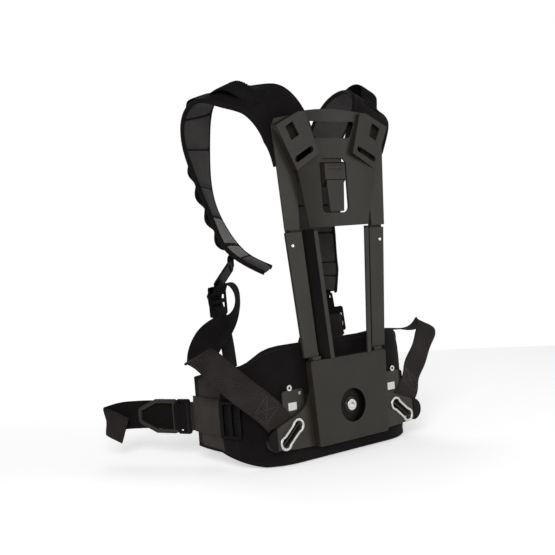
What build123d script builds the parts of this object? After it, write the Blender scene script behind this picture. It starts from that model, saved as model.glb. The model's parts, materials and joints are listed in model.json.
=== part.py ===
"""Carrying harness of a breathing apparatus: telescoping back frame, shoulder pads and pivoting hip belt.

Frame: X to the right seen from behind, Y forwards towards the wearer, Z up, all in millimetres.
The origin is the centre of the pivot recess on the rear face of the lower plate.
"""
import os
from math import atan2, degrees

from build123d import *

os.makedirs("parts", exist_ok=True)

SIDES = (("left", -1), ("right", 1))

# Lower plate: a tray with its open side towards the wearer.
PLATE_TOP_Z = 85.3
PLATE_BOTTOM_Z = -58.0
PLATE_TOP_HALF = 87.0
PLATE_BOTTOM_HALF = 79.6
PLATE_DEPTH = 14.0
PLATE_WALL = 3.0
RECESS_RADIUS = 28.5
RECESS_DEPTH = 9.0

# Hip swivel stack, along Y.
CARRIER_THICKNESS = 5.0
CARRIER_FRONT = PLATE_DEPTH + CARRIER_THICKNESS
BUSH_BORE_RADIUS = 6.0
BUSH_RADIUS = 9.0
SWIVEL_GAP = 0.3
SWIVEL_REAR = CARRIER_FRONT + SWIVEL_GAP
SWIVEL_THICKNESS = 4.7
SWIVEL_FRONT = SWIVEL_REAR + SWIVEL_THICKNESS
SWIVEL_CLEARANCE = 0.05
NUT_REAR = SWIVEL_FRONT + SWIVEL_GAP
NUT_HEIGHT = 6.0
BOLT_HEAD_RADIUS = 10.0
BOLT_HEAD_HEIGHT = 5.5
WASHER_RADIUS = 13.0
WASHER_THICKNESS = 1.2

# Rail sleeves: they lean outwards as they rise.
SLEEVE_FACE_Y = 8.0
SLEEVE_FRONT_Y = 20.0
SLEEVE_LIP_Y = -5.0
SLEEVE_FOOT_Z = 91.0
SLEEVE_TOP_Z = 298.0
CAP_THICKNESS = 3.6
CAP_PROUD = 0.8
FOOT_LOW_Z = 12.0
FOOT_INNER = 62.0
FOOT_OUTER = 80.0

# Sliding tongue of the upper leg and the slot that guides it.
TONGUE_LOW_Z = 165.0
TONGUE_INNER = 81.0
TONGUE_REAR_Y = 10.3
TONGUE_FRONT_Y = 14.3
TONGUE_CLEARANCE = 0.3
TONGUE_WALL = 3.4
LEG_LOW_Z = 302.0
LEG_REAR_Y = 7.0
LEG_FRONT_Y = 15.0
LEG_SKIN = 2.5
LEG_FLANGE = 8.0

# Lock plungers, one in each sleeve, and the slot each one runs in.
PLUNGER_X = 100.0
PLUNGER_Z = 276.6
PLUNGER_RADIUS = 2.3
PLUNGER_HEAD_RADIUS = 3.3
PLUNGER_TIP_Y = 13.0
BACK_TRAVEL = 45.0

# Head plate: a concave panel with a raised ear at each upper corner.
HEAD_LOW_Z = 304.0
HEAD_APEX_Z = 502.0
HEAD_ARC_RADIUS = 330.0
HEAD_CENTRE_Y = 6.0
HEAD_THICKNESS = 4.0
EAR_REAR_Y = -6.0
EAR_SKIN = 4.0
EAR_WALL = 3.0
LATCH_PIVOT_Z = 319.0
LATCH_PIVOT_Y = 13.5

# Oblong steel eyes on the wings.
EYE_CENTRE = (128.0, -29.0)
EYE_ANGLE = 40.9
EYE_END_RADIUS = 12.5
EYE_END_OFFSET = 18.5
EYE_WAIST = 22.0
EYE_BAND = 4.6
EYE_THICKNESS = 3.2
SLOT_LENGTH = 48.0
SLOT_WIDTH = 14.0
PIN_RADIUS = 2.5
PIN_LENGTH = 58.0

# Webbing and pads.
WEBBING = 50.0
WEBBING_THICKNESS = 2.4
SHOULDER_WIDTH = 72.0
SHOULDER_THICKNESS = 12.0
HIP_THICKNESS = 16.0
HIP_TOP_Z = 114.0
HIP_BOTTOM_Z = -81.0


def rear(y):
    """Sketch plane at depth y, with local axes X and Z."""
    return Plane.XZ.offset(-y)


def finish(builder, name):
    """Label a finished piece and write it."""
    builder.part.label = name
    export_step(builder.part, f"parts/{name}.step")


def sleeve_outer(z):
    """Distance of the sleeve's outer edge from the centre plane at height z."""
    return 93.0 + (z - 93.0) * 0.093


def sleeve_inner(z):
    """Distance of the inner edge of the sleeve's flat face at height z."""
    return 62.4 + (z - 88.0) * 0.0735


def sleeve_lip(z):
    """Distance of the outer edge of the sleeve's raised inner lip at height z."""
    return 47.0 + (z - 88.0) * 0.0755


def leg_outer(z):
    """Distance of the upper leg's outer edge at height z."""
    return 113.5 + (z - 302.0) * 0.066


def sleeve_section(side, z, grow=0.0, trim=0.0):
    """Corner points of the sleeve's section: flat face, sloping web and raised lip."""
    outer = sleeve_outer(z) - trim
    inner = sleeve_inner(z)
    lip = sleeve_lip(z)
    points = [
        (outer, SLEEVE_FACE_Y - grow),
        (inner, SLEEVE_FACE_Y - grow),
        (inner, SLEEVE_FACE_Y + 7),
        (inner - 3, SLEEVE_FACE_Y + 7),
        (lip, SLEEVE_LIP_Y - grow),
        (lip - 8.5, SLEEVE_LIP_Y - grow),
        (lip - 8.5, SLEEVE_LIP_Y + 3),
        (lip - 2, SLEEVE_LIP_Y + 3),
        (inner - 2, SLEEVE_FRONT_Y),
        (outer - 6, SLEEVE_FRONT_Y),
        (outer, SLEEVE_FACE_Y + 5),
    ]
    return [(side * x, y) for x, y in points]


def tongue_outline(side, low, high, gap):
    """Outline of the sliding tongue, grown by gap for the slot that guides it."""
    points = [
        (TONGUE_INNER - gap, low),
        (sleeve_outer(low) - TONGUE_WALL + gap, low),
        (sleeve_outer(high) - TONGUE_WALL + gap, high),
        (TONGUE_INNER - gap, high),
    ]
    return [(side * x, z) for x, z in points]


def half_width(z):
    """Half the width of the lower plate at height z."""
    slope = (PLATE_TOP_HALF - PLATE_BOTTOM_HALF) / (PLATE_TOP_Z - PLATE_BOTTOM_Z)
    return PLATE_BOTTOM_HALF + (z - PLATE_BOTTOM_Z) * slope


def plate_corners(inset):
    """Corners of the lower plate's outline, drawn in by inset."""
    low = PLATE_BOTTOM_Z + inset
    high = PLATE_TOP_Z - inset
    return [
        (-half_width(low) + inset, low),
        (half_width(low) - inset, low),
        (half_width(high) - inset, high),
        (-half_width(high) + inset, high),
    ]


def strap(stations, thickness):
    """Solid ribbon through stations, each a centre, a width direction and a width."""
    centres = [Vector(*centre) for centre, _, _ in stations]
    with BuildPart() as ribbon:
        for index, (_, across, width) in enumerate(stations):
            before = centres[max(index - 1, 0)]
            after = centres[min(index + 1, len(centres) - 1)]
            along = (after - before).normalized()
            side_way = Vector(*across).normalized()
            side_way = (side_way - along * side_way.dot(along)).normalized()
            with BuildSketch(Plane(origin=centres[index], x_dir=side_way, z_dir=along)):
                Rectangle(width, thickness)
        loft(ruled=True)
    return ribbon


def mirrored(stations, side):
    """Stations given for the right side, moved to the named side."""
    return [
        ((side * x, y, z), (side * wx, wy, wz), width)
        for (x, y, z), (wx, wy, wz), width in stations
    ]


# ---------------------------------------------------------------- lower frame

foot_screws = [(x, z) for x in (-71, 71) for z in (26, 60)]
base_screws = [(x, -44) for x in (-62, 62)]

with BuildPart() as lower_plate:
    with BuildSketch(rear(0)):
        with BuildLine():
            Polyline(*plate_corners(0), close=True)
        make_face()
    extrude(amount=-PLATE_DEPTH)
    fillet(lower_plate.edges().filter_by(Axis.Y), 5)
    fillet(lower_plate.faces().sort_by(Axis.Y)[0].outer_wire().edges(), 1.6)
    with BuildSketch(rear(PLATE_WALL)):
        with BuildLine():
            Polyline(*plate_corners(PLATE_WALL), close=True)
        make_face()
        Circle(RECESS_RADIUS + PLATE_WALL, mode=Mode.SUBTRACT)
        with Locations(*base_screws):
            Circle(6, mode=Mode.SUBTRACT)
    extrude(amount=-(PLATE_DEPTH - PLATE_WALL), mode=Mode.SUBTRACT)
    with BuildSketch(rear(0)):
        Circle(RECESS_RADIUS)
    extrude(amount=-RECESS_DEPTH, mode=Mode.SUBTRACT)
    with BuildSketch(rear(0)):
        Circle(BUSH_RADIUS)
    extrude(amount=-PLATE_DEPTH, mode=Mode.SUBTRACT)
    with BuildSketch(rear(PLATE_WALL)):
        for sign in (-1, 1):
            with Locations((sign * (FOOT_INNER + FOOT_OUTER) / 2, PLATE_TOP_Z)):
                Rectangle(FOOT_OUTER - FOOT_INNER, 4 * PLATE_WALL)
    extrude(amount=-(PLATE_DEPTH - PLATE_WALL), mode=Mode.SUBTRACT)
    with BuildSketch(rear(PLATE_DEPTH)):
        with Locations(*base_screws):
            Circle(2)
    extrude(amount=8, mode=Mode.SUBTRACT)
finish(lower_plate, "lower_plate")

with BuildPart() as wing_carrier:
    with BuildSketch(rear(PLATE_DEPTH)):
        for _, side in SIDES:
            with BuildLine():
                top = Polyline((0, 76), (side * 66, 76), (side * 80, 62), (side * 80.5, 33))
                Spline(top @ 1, (side * 98, 9), (side * 144, -10), (side * 162, -18))
                ThreePointArc((side * 162, -18), (side * 174, -34), (side * 160, -51))
                Polyline((side * 160, -51), (side * 116, -55.5), (side * 60, -57), (0, -57), (0, 76))
            make_face()
    extrude(amount=-CARRIER_THICKNESS)
    with BuildSketch(rear(PLATE_DEPTH)):
        Circle(BUSH_RADIUS)
        for _, side in SIDES:
            with Locations((side * EYE_CENTRE[0], EYE_CENTRE[1])):
                SlotOverall(SLOT_LENGTH, SLOT_WIDTH, rotation=-side * EYE_ANGLE)
        with Locations(*foot_screws, *base_screws):
            Circle(2.2)
    extrude(amount=-CARRIER_THICKNESS, mode=Mode.SUBTRACT)
    for _, side in SIDES:
        pin_middle = (side * EYE_CENTRE[0], PLATE_DEPTH + CARRIER_THICKNESS / 2, EYE_CENTRE[1])
        with Locations(Location(pin_middle, (0, 90 + side * EYE_ANGLE, 0))):
            Cylinder(PIN_RADIUS, PIN_LENGTH, mode=Mode.SUBTRACT)
finish(wing_carrier, "wing_carrier")

for name, side in SIDES:
    middle = (side * EYE_CENTRE[0], EYE_CENTRE[1])
    with BuildPart() as webbing_eye:
        with BuildSketch(rear(PLATE_DEPTH - EYE_THICKNESS)) as eye:
            with Locations(Location((middle[0], middle[1], 0), -side * EYE_ANGLE)):
                Rectangle(2 * EYE_END_OFFSET, EYE_WAIST)
                with Locations((-EYE_END_OFFSET, 0), (EYE_END_OFFSET, 0)):
                    Circle(EYE_END_RADIUS)
            fillet(eye.vertices(), 14)
            offset(amount=-EYE_BAND, kind=Kind.INTERSECTION, mode=Mode.SUBTRACT)
        extrude(amount=-EYE_THICKNESS)
        fillet(webbing_eye.faces().sort_by(Axis.Y)[0].edges(), 1.4)
    finish(webbing_eye, f"webbing_eye_{name}")

    with BuildPart() as webbing_pin:
        pin_middle = (middle[0], PLATE_DEPTH + CARRIER_THICKNESS / 2, middle[1])
        with Locations(Location(pin_middle, (0, 90 + side * EYE_ANGLE, 0))):
            Cylinder(PIN_RADIUS, PIN_LENGTH)
    finish(webbing_pin, f"webbing_pin_{name}")

    with BuildPart() as wing_end_cap:
        with BuildSketch(rear(PLATE_DEPTH - 1.8)):
            with Locations((side * 158, -34)):
                Circle(19)
            with Locations((side * 150, -34)):
                Rectangle(17, 60, mode=Mode.SUBTRACT)
            with Locations((side * 135, -34)):
                Rectangle(30, 60, mode=Mode.SUBTRACT)
        extrude(amount=-(CARRIER_THICKNESS + 3.6))
        fillet(wing_end_cap.edges().group_by(Axis.Y)[0], 0.8)
        add(wing_carrier.part, mode=Mode.SUBTRACT)
    finish(wing_end_cap, f"wing_end_cap_{name}")

    with BuildPart() as rail_sleeve:
        for height in (PLATE_TOP_Z, SLEEVE_TOP_Z):
            with BuildSketch(Plane.XY.offset(height)):
                with BuildLine():
                    Polyline(*sleeve_section(side, height), close=True)
                make_face()
        loft(ruled=True)
        with BuildSketch(Plane.XY.offset(PLATE_TOP_Z)):
            with Locations((side * 78, 4)):
                Rectangle(40, 20)
        extrude(amount=SLEEVE_FOOT_Z - PLATE_TOP_Z, mode=Mode.SUBTRACT)
        with BuildSketch(Plane.XY.offset(PLATE_TOP_Z)):
            with Locations((side * 78, SLEEVE_FRONT_Y - 3)):
                Rectangle(40, 6)
        extrude(amount=SLEEVE_FOOT_Z - PLATE_TOP_Z, mode=Mode.SUBTRACT)
        with BuildSketch(rear(TONGUE_REAR_Y - TONGUE_CLEARANCE)):
            with BuildLine():
                Polyline(*tongue_outline(side, 150, 310, TONGUE_CLEARANCE), close=True)
            make_face()
        extrude(amount=-(TONGUE_FRONT_Y - TONGUE_REAR_Y + 2 * TONGUE_CLEARANCE), mode=Mode.SUBTRACT)
        with BuildSketch(rear(SLEEVE_FACE_Y)):
            with Locations((side * PLUNGER_X, PLUNGER_Z)):
                Circle(PLUNGER_RADIUS + 0.1)
        extrude(amount=-4, mode=Mode.SUBTRACT)
        with BuildSketch(rear(SLEEVE_FACE_Y)):
            with Locations((side * PLUNGER_X, PLUNGER_Z)):
                Circle(PLUNGER_HEAD_RADIUS + 0.9)
        extrude(amount=-1, mode=Mode.SUBTRACT)
        with BuildSketch(rear(PLATE_WALL)):
            foot_height = SLEEVE_FOOT_Z + 6 - FOOT_LOW_Z
            with Locations((side * (FOOT_INNER + FOOT_OUTER) / 2, FOOT_LOW_Z + foot_height / 2)):
                Rectangle(FOOT_OUTER - FOOT_INNER, foot_height)
        extrude(amount=-(PLATE_DEPTH - PLATE_WALL))
        with BuildSketch(rear(PLATE_WALL)):
            with Locations((side * (FOOT_INNER + FOOT_OUTER) / 2, SLEEVE_FOOT_Z + 3)):
                Rectangle(FOOT_OUTER - FOOT_INNER, 6.1)
        extrude(amount=-(SLEEVE_FACE_Y - PLATE_WALL), mode=Mode.SUBTRACT)
        with BuildSketch(rear(PLATE_DEPTH)):
            with Locations(*[point for point in foot_screws if point[0] * side > 0]):
                Circle(2)
        extrude(amount=8, mode=Mode.SUBTRACT)
    finish(rail_sleeve, f"rail_sleeve_{name}")

    with BuildPart() as sleeve_cap:
        with BuildSketch(Plane.XY.offset(SLEEVE_TOP_Z)):
            with BuildLine():
                Polyline(*sleeve_section(side, SLEEVE_TOP_Z, CAP_PROUD, 6), close=True)
            make_face()
        extrude(amount=CAP_THICKNESS)
        with BuildSketch(rear(TONGUE_REAR_Y - TONGUE_CLEARANCE)):
            with BuildLine():
                Polyline(*tongue_outline(side, 150, 310, TONGUE_CLEARANCE), close=True)
            make_face()
        extrude(amount=-(TONGUE_FRONT_Y - TONGUE_REAR_Y + 2 * TONGUE_CLEARANCE), mode=Mode.SUBTRACT)
    finish(sleeve_cap, f"sleeve_cap_{name}")

with BuildPart() as pivot_bush:
    with BuildSketch(rear(RECESS_DEPTH)):
        Circle(BUSH_RADIUS)
        Circle(BUSH_BORE_RADIUS, mode=Mode.SUBTRACT)
    extrude(amount=-(NUT_REAR - RECESS_DEPTH))
finish(pivot_bush, "pivot_bush")

with BuildPart() as pivot_washer:
    with BuildSketch(rear(RECESS_DEPTH - WASHER_THICKNESS)):
        Circle(WASHER_RADIUS)
        Circle(BUSH_BORE_RADIUS, mode=Mode.SUBTRACT)
    extrude(amount=-WASHER_THICKNESS)
    fillet(pivot_washer.edges().group_by(Axis.Y)[0].sort_by(SortBy.RADIUS)[-1], 0.4)
finish(pivot_washer, "pivot_washer")

bolt_head_rear = RECESS_DEPTH - WASHER_THICKNESS - BOLT_HEAD_HEIGHT
with BuildPart() as pivot_bolt:
    with BuildSketch(rear(bolt_head_rear)):
        Circle(BOLT_HEAD_RADIUS)
    extrude(amount=-BOLT_HEAD_HEIGHT)
    fillet(pivot_bolt.edges().group_by(Axis.Y)[0], 1.5)
    with BuildSketch(rear(bolt_head_rear + BOLT_HEAD_HEIGHT)):
        Circle(BUSH_BORE_RADIUS)
    extrude(amount=-(NUT_REAR + NUT_HEIGHT - bolt_head_rear - BOLT_HEAD_HEIGHT))
    with BuildSketch(rear(bolt_head_rear)):
        RegularPolygon(5, 6)
    extrude(amount=-3.5, mode=Mode.SUBTRACT)
finish(pivot_bolt, "pivot_bolt")

with BuildPart() as pivot_nut:
    with BuildSketch(rear(NUT_REAR)):
        RegularPolygon(11, 6)
        Circle(BUSH_BORE_RADIUS, mode=Mode.SUBTRACT)
    extrude(amount=-NUT_HEIGHT)
finish(pivot_nut, "pivot_nut")

with BuildPart() as carrier_screws:
    with BuildSketch(rear(CARRIER_FRONT)):
        with Locations(*foot_screws, *base_screws):
            Circle(2)
    extrude(amount=10)
    with BuildSketch(rear(CARRIER_FRONT - 2)):
        with Locations(*foot_screws, *base_screws):
            Circle(2)
    extrude(amount=-2)
finish(carrier_screws, "carrier_screws")

# ---------------------------------------------------------------- upper frame

HALF_HEAD = [(67, HEAD_LOW_Z), (88.5, 402), (125.6, 471.5), (76, 494.5), (60, 497)]
HALF_EAR = [(62, 494), (39, 426), (88.5, 398), (125.6, 471.5), (76, 494.5)]
EAR_POCKET = [(63, 489), (44, 428.5), (86.5, 404), (119, 469), (76, 489)]
EAR_BOSSES = [(81, 481), (87, 438)]
ear_slant = degrees(atan2(125.6 - 88.5, 471.5 - 402))

with BuildPart() as head_plate:
    with BuildSketch(Plane.XY.offset(HEAD_LOW_Z)) as arc_band:
        with Locations((0, HEAD_CENTRE_Y - HEAD_ARC_RADIUS)):
            Circle(HEAD_ARC_RADIUS + HEAD_THICKNESS)
            Circle(HEAD_ARC_RADIUS, mode=Mode.SUBTRACT)
        with Locations((0, 0)):
            Rectangle(192, 60, mode=Mode.INTERSECT)
    extrude(amount=HEAD_APEX_Z - HEAD_LOW_Z)
    with BuildSketch(rear(-20)):
        with BuildLine():
            Polyline(*[(-x, z) for x, z in reversed(HALF_HEAD)], *HALF_HEAD)
            ThreePointArc((60, 497), (0, HEAD_APEX_Z), (-60, 497))
        make_face()
    extrude(amount=-60, mode=Mode.INTERSECT)
    for _, side in SIDES:
        with BuildSketch(rear(-20)):
            with BuildLine():
                Polyline(*[(side * x, z) for x, z in HALF_EAR], close=True)
            make_face()
        extrude(amount=-(EAR_REAR_Y + 20), mode=Mode.SUBTRACT)
        with BuildSketch(rear(EAR_REAR_Y)):
            with BuildLine():
                Polyline(*[(side * x, z) for x, z in HALF_EAR], close=True)
            make_face()
        extrude(amount=-(LEG_REAR_Y - EAR_REAR_Y))
    for _, side in SIDES:
        with BuildSketch(rear(EAR_REAR_Y + EAR_SKIN)):
            with BuildLine():
                Polyline(*[(side * x, z) for x, z in EAR_POCKET], close=True)
            make_face()
            with Locations(*[(side * x, z) for x, z in EAR_BOSSES]):
                Circle(5, mode=Mode.SUBTRACT)
        extrude(amount=-30, mode=Mode.SUBTRACT)
        with BuildSketch(rear(LEG_REAR_Y)):
            with Locations(*[(side * x, z) for x, z in EAR_BOSSES]):
                Circle(2)
        extrude(amount=9, mode=Mode.SUBTRACT)
        with BuildSketch(rear(EAR_REAR_Y)):
            with Locations(Location((side * 93.3, 462.5, 0), -side * ear_slant)):
                RectangleRounded(19.5, 25, 1.5)
            with Locations((side * 71, 424.5)):
                SlotOverall(46, 10, rotation=-side * 27.3)
        extrude(amount=-EAR_SKIN, mode=Mode.SUBTRACT)
    with BuildSketch(rear(-20)) as openings:
        with BuildLine():
            Polyline((-58, 481), (58, 481), (44, 453), (-44, 453), close=True)
        make_face()
        fillet(openings.vertices(), 5)
    extrude(amount=-60, mode=Mode.SUBTRACT)
    with BuildSketch(rear(-20)):
        with Locations((0, (327 + 419) / 2)):
            RectangleRounded(60, 92, 10)
    extrude(amount=-60, mode=Mode.SUBTRACT)
    with BuildSketch(Plane.YZ.offset(-24)):
        with Locations((12, 318)):
            Rectangle(8, 14)
    extrude(amount=7)
    with BuildSketch(Plane.YZ.offset(17)):
        with Locations((12, 318)):
            Rectangle(8, 14)
    extrude(amount=7)
    with BuildSketch(Plane.YZ.offset(-24)):
        with Locations((LATCH_PIVOT_Y, LATCH_PIVOT_Z)):
            Circle(1.5)
    extrude(amount=48, mode=Mode.SUBTRACT)
finish(head_plate, "head_plate")

with BuildPart() as release_latch:
    with BuildSketch(rear(1.5)):
        with BuildLine():
            Polyline((-15.5, 329), (15.5, 329), (19.2, 374), (19.2, 404), (-19.2, 404), (-19.2, 374), close=True)
        make_face()
    extrude(amount=-3)
    with BuildSketch(Plane.YZ.offset(-15)):
        with BuildLine():
            Polyline((1.5, 329), (1.5, 332.5), (13.6, 332.5), (13.6, 319), (10.6, 319), (10.6, 329), close=True)
        make_face()
    extrude(amount=30)
    with BuildSketch(Plane.YZ.offset(-23)):
        with BuildLine():
            Polyline((10.6, 371), (0, 383), (0, 409), (3, 412.5), (13.6, 412.5), (13.6, 371), close=True)
        make_face()
    extrude(amount=46)
    with BuildSketch(rear(10.6)):
        with Locations((0, 397.5)):
            Rectangle(52, 53)
    extrude(amount=-3)
    with BuildSketch(Plane.YZ.offset(-15)):
        with Locations((LATCH_PIVOT_Y, LATCH_PIVOT_Z)):
            Circle(3.2)
    extrude(amount=30)
    with BuildSketch(Plane.YZ.offset(-20)):
        with Locations((LATCH_PIVOT_Y, LATCH_PIVOT_Z)):
            Circle(1.55)
    extrude(amount=40, mode=Mode.SUBTRACT)
    with BuildSketch(rear(0)):
        with Locations((0, 403)):
            with GridLocations(6.6, 6, 5, 2):
                Circle(1.3)
    extrude(amount=-0.8, mode=Mode.SUBTRACT)
finish(release_latch, "release_latch")

with BuildPart() as latch_pin:
    with BuildSketch(Plane.YZ.offset(-24)):
        with Locations((LATCH_PIVOT_Y, LATCH_PIVOT_Z)):
            Circle(1.5)
    extrude(amount=48)
finish(latch_pin, "latch_pin")

# Shoulder pads: centre line, width direction and width, given as for the right side.
SHOULDER = {
    "left": [
        ((70, 27, 408), (0.95, 0.05, -0.28), 74),
        ((75.4, 27.2, 463), (0.88, 0.15, -0.42), 92),
        ((106, 43, 516.5), (0.85, 0.14, -0.50), 86),
        ((124, 97, 534), (0.90, -0.02, -0.44), 74),
        ((132, 147, 545), (0.94, -0.12, -0.33), SHOULDER_WIDTH),
        ((132, 195, 527), (0.96, -0.16, -0.24), SHOULDER_WIDTH),
        ((127, 218, 473), (0.96, -0.28, -0.04), SHOULDER_WIDTH),
        ((125, 216, 424), (0.87, -0.48, 0.06), SHOULDER_WIDTH),
        ((121, 206, 373), (0.77, -0.63, 0.07), SHOULDER_WIDTH),
        ((110, 190, 318), (0.78, -0.62, 0.05), SHOULDER_WIDTH),
        ((99, 169, 278), (0.88, -0.47, 0.08), 66),
        ((64, 122, 238), (0.80, -0.50, -0.20), 42),
    ],
    "right": [
        ((80, 27, 408), (0.95, 0.05, -0.28), 80),
        ((104, 28, 455), (0.93, 0.10, -0.35), 98),
        ((135, 42, 508), (0.90, 0.05, -0.40), 92),
        ((152, 85, 532), (0.90, -0.02, -0.44), 76),
        ((158, 125, 534), (0.94, -0.12, -0.33), SHOULDER_WIDTH),
        ((156, 165, 508), (0.96, -0.16, -0.24), SHOULDER_WIDTH),
        ((148, 190, 465), (0.96, -0.28, -0.04), SHOULDER_WIDTH),
        ((138, 202, 420), (0.87, -0.48, 0.06), SHOULDER_WIDTH),
        ((127, 202, 368), (0.77, -0.63, 0.07), SHOULDER_WIDTH),
        ((111, 188, 290), (0.78, -0.62, 0.05), SHOULDER_WIDTH),
        ((99, 169, 228), (0.88, -0.47, 0.08), 66),
        ((74, 132, 191), (0.80, -0.50, -0.20), 42),
    ],
}

for name, side in SIDES:
    with BuildPart() as upper_leg:
        with BuildSketch(rear(LEG_REAR_Y)) as leg_outline:
            with BuildLine():
                leg_points = [
                    (leg_outer(LEG_LOW_Z), LEG_LOW_Z),
                    (leg_outer(472), 472),
                    (118, 484),
                    (76, 492),
                    (74, 470),
                    (79, 400),
                    (83, LEG_LOW_Z),
                ]
                Polyline(*[(side * x, z) for x, z in leg_points], close=True)
            make_face()
        extrude(amount=-LEG_SKIN)
        with BuildSketch(rear(LEG_REAR_Y)):
            with BuildLine():
                core_points = [
                    (leg_outer(LEG_LOW_Z) - LEG_FLANGE, LEG_LOW_Z),
                    (leg_outer(472) - LEG_FLANGE, 472),
                    (111, 484),
                    *leg_points[3:],
                ]
                Polyline(*[(side * x, z) for x, z in core_points], close=True)
            make_face()
        extrude(amount=-(LEG_FRONT_Y - LEG_REAR_Y))
        with BuildSketch(rear(TONGUE_REAR_Y)):
            with BuildLine():
                Polyline(*tongue_outline(side, TONGUE_LOW_Z, LEG_LOW_Z + 20, 0), close=True)
            make_face()
        extrude(amount=-(TONGUE_FRONT_Y - TONGUE_REAR_Y))
        with BuildSketch(rear(TONGUE_REAR_Y)):
            with Locations((side * PLUNGER_X, PLUNGER_Z - BACK_TRAVEL / 2)):
                slot_width = 2 * PLUNGER_RADIUS + 0.4
                SlotOverall(BACK_TRAVEL + slot_width, slot_width, rotation=90)
        extrude(amount=-8, mode=Mode.SUBTRACT)
        with BuildSketch(rear(LEG_REAR_Y)):
            with Locations(*[(side * x, z) for x, z in EAR_BOSSES]):
                Circle(2)
        extrude(amount=-10, mode=Mode.SUBTRACT)
    finish(upper_leg, f"upper_leg_{name}")

    with BuildPart() as lock_plunger:
        with BuildSketch(rear(SLEEVE_FACE_Y + 1)):
            with Locations((side * PLUNGER_X, PLUNGER_Z)):
                Circle(PLUNGER_HEAD_RADIUS)
        extrude(amount=3)
        fillet(lock_plunger.edges().group_by(Axis.Y)[0], 1.4)
        with BuildSketch(rear(SLEEVE_FACE_Y + 1)):
            with Locations((side * PLUNGER_X, PLUNGER_Z)):
                Circle(PLUNGER_RADIUS)
        extrude(amount=-(PLUNGER_TIP_Y - SLEEVE_FACE_Y - 1))
    finish(lock_plunger, f"lock_plunger_{name}")

    with BuildPart() as pad_anchor:
        with BuildSketch(rear(LEG_FRONT_Y)):
            with Locations((side * 96, 450.5)):
                RectangleRounded(42, 14, 3)
        extrude(amount=-4)
    finish(pad_anchor, f"pad_anchor_{name}")

    shoulder_pad = strap(mirrored(SHOULDER[name], side), SHOULDER_THICKNESS)
    finish(shoulder_pad, f"shoulder_pad_{name}")

with BuildPart() as leg_screws:
    with BuildSketch(rear(LEG_FRONT_Y)):
        with Locations(*[(sign * x, z) for sign in (-1, 1) for x, z in EAR_BOSSES]):
            Circle(2)
    extrude(amount=14)
    with BuildSketch(rear(LEG_FRONT_Y)):
        with Locations(*[(sign * x, z) for sign in (-1, 1) for x, z in EAR_BOSSES]):
            Circle(4)
    extrude(amount=-1.8)
finish(leg_screws, "leg_screws")

# Ribbed grab loop along the crest of each pad, and the webbing sewn down its outer face.
CREST = {
    "left": [
        ((107, 45, 517.5), (0.85, 0.14, -0.50)),
        ((112.7, 62, 522.7), (0.87, 0.08, -0.48)),
        ((118, 79, 528), (0.89, 0.02, -0.46)),
        ((124, 97, 534), (0.90, -0.02, -0.44)),
        ((128.3, 117, 538.6), (0.92, -0.07, -0.38)),
        ((130.4, 137, 543), (0.93, -0.10, -0.35)),
    ],
    "right": [
        ((135, 42, 508), (0.90, 0.05, -0.40)),
        ((143, 60, 519), (0.90, 0.02, -0.42)),
        ((148, 74, 526), (0.90, 0.00, -0.43)),
        ((152, 90, 532), (0.91, -0.03, -0.43)),
        ((156, 108, 534), (0.92, -0.08, -0.38)),
        ((158, 125, 534), (0.94, -0.12, -0.33)),
    ],
}
CREST_LIFTS = {"left": [10.5, 11, 16, 20, 17, 10], "right": [10.5, 12, 23, 27, 23, 11]}
CREST_WIDTH = 38.0
CHAIN_LIFT = SHOULDER_THICKNESS / 2 + 3.4
CHAIN_WIDTH = 40.0


def lifted(stations, lifts, width):
    """Stations moved off the pad's outer face by the given lifts, with a new width."""
    centres = [Vector(*station[0]) for station in stations]
    moved = []
    for index, station in enumerate(stations):
        before = centres[max(index - 1, 0)]
        after = centres[min(index + 1, len(centres) - 1)]
        outward = Vector(*station[1]).cross(after - before).normalized()
        moved.append((tuple(centres[index] + outward * lifts[index]), station[1], width))
    return moved


for name, side in SIDES:
    crest_stations = lifted(CREST[name], CREST_LIFTS[name], CREST_WIDTH)
    crest_loop = strap(mirrored(crest_stations, side), 3)
    finish(crest_loop, f"crest_loop_{name}")

    chain_stations = lifted(SHOULDER[name][5:11], [CHAIN_LIFT] * 6, CHAIN_WIDTH)
    pad_webbing = strap(mirrored(chain_stations, side), WEBBING_THICKNESS)
    finish(pad_webbing, f"pad_webbing_{name}")

# ---------------------------------------------------------------- hip belt

HIP_REAR_Y = SWIVEL_FRONT
HIP_FLAT_HALF = 104.0
HIP_SIDE_X = 196.0
HIP_SIDE_Y = 112.0
HIP_END = (189.0, 198.0)


def hip_plan(side, start=0.0):
    """Plan of the hip pad's outer face on one side, as edges from the centre to the wing's end."""
    flat = Line((side * start, HIP_REAR_Y), (side * HIP_FLAT_HALF, HIP_REAR_Y))
    bend = TangentArc(flat @ 1, (side * HIP_SIDE_X, HIP_SIDE_Y), tangent=flat % 1)
    TangentArc(bend @ 1, (side * HIP_END[0], HIP_END[1]), tangent=bend % 1)


HIP_PROFILE = [
    (0, HIP_TOP_Z),
    (27, HIP_TOP_Z),
    (40, 107),
    (58, 91),
    (80, 83),
    (170, 69),
    (220, 60),
    (220, -55),
    (124, -57),
    (60, -76),
    (44, HIP_BOTTOM_Z),
    (0, HIP_BOTTOM_Z),
]

with BuildPart() as hip_pad:
    with BuildSketch(Plane.XY.offset(HIP_BOTTOM_Z)):
        for _, side in SIDES:
            with BuildLine():
                hip_plan(side)
                offset(amount=HIP_THICKNESS, side=Side.LEFT if side > 0 else Side.RIGHT)
            make_face()
    extrude(amount=HIP_TOP_Z - HIP_BOTTOM_Z)
    with BuildSketch(Plane.YZ.offset(-260)):
        with BuildLine():
            Polyline(*HIP_PROFILE, close=True)
        make_face()
    extrude(amount=520, mode=Mode.INTERSECT)
    with BuildSketch(rear(HIP_REAR_Y)):
        Circle(16)
    extrude(amount=-9, mode=Mode.SUBTRACT)
finish(hip_pad, "hip_pad")

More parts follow.
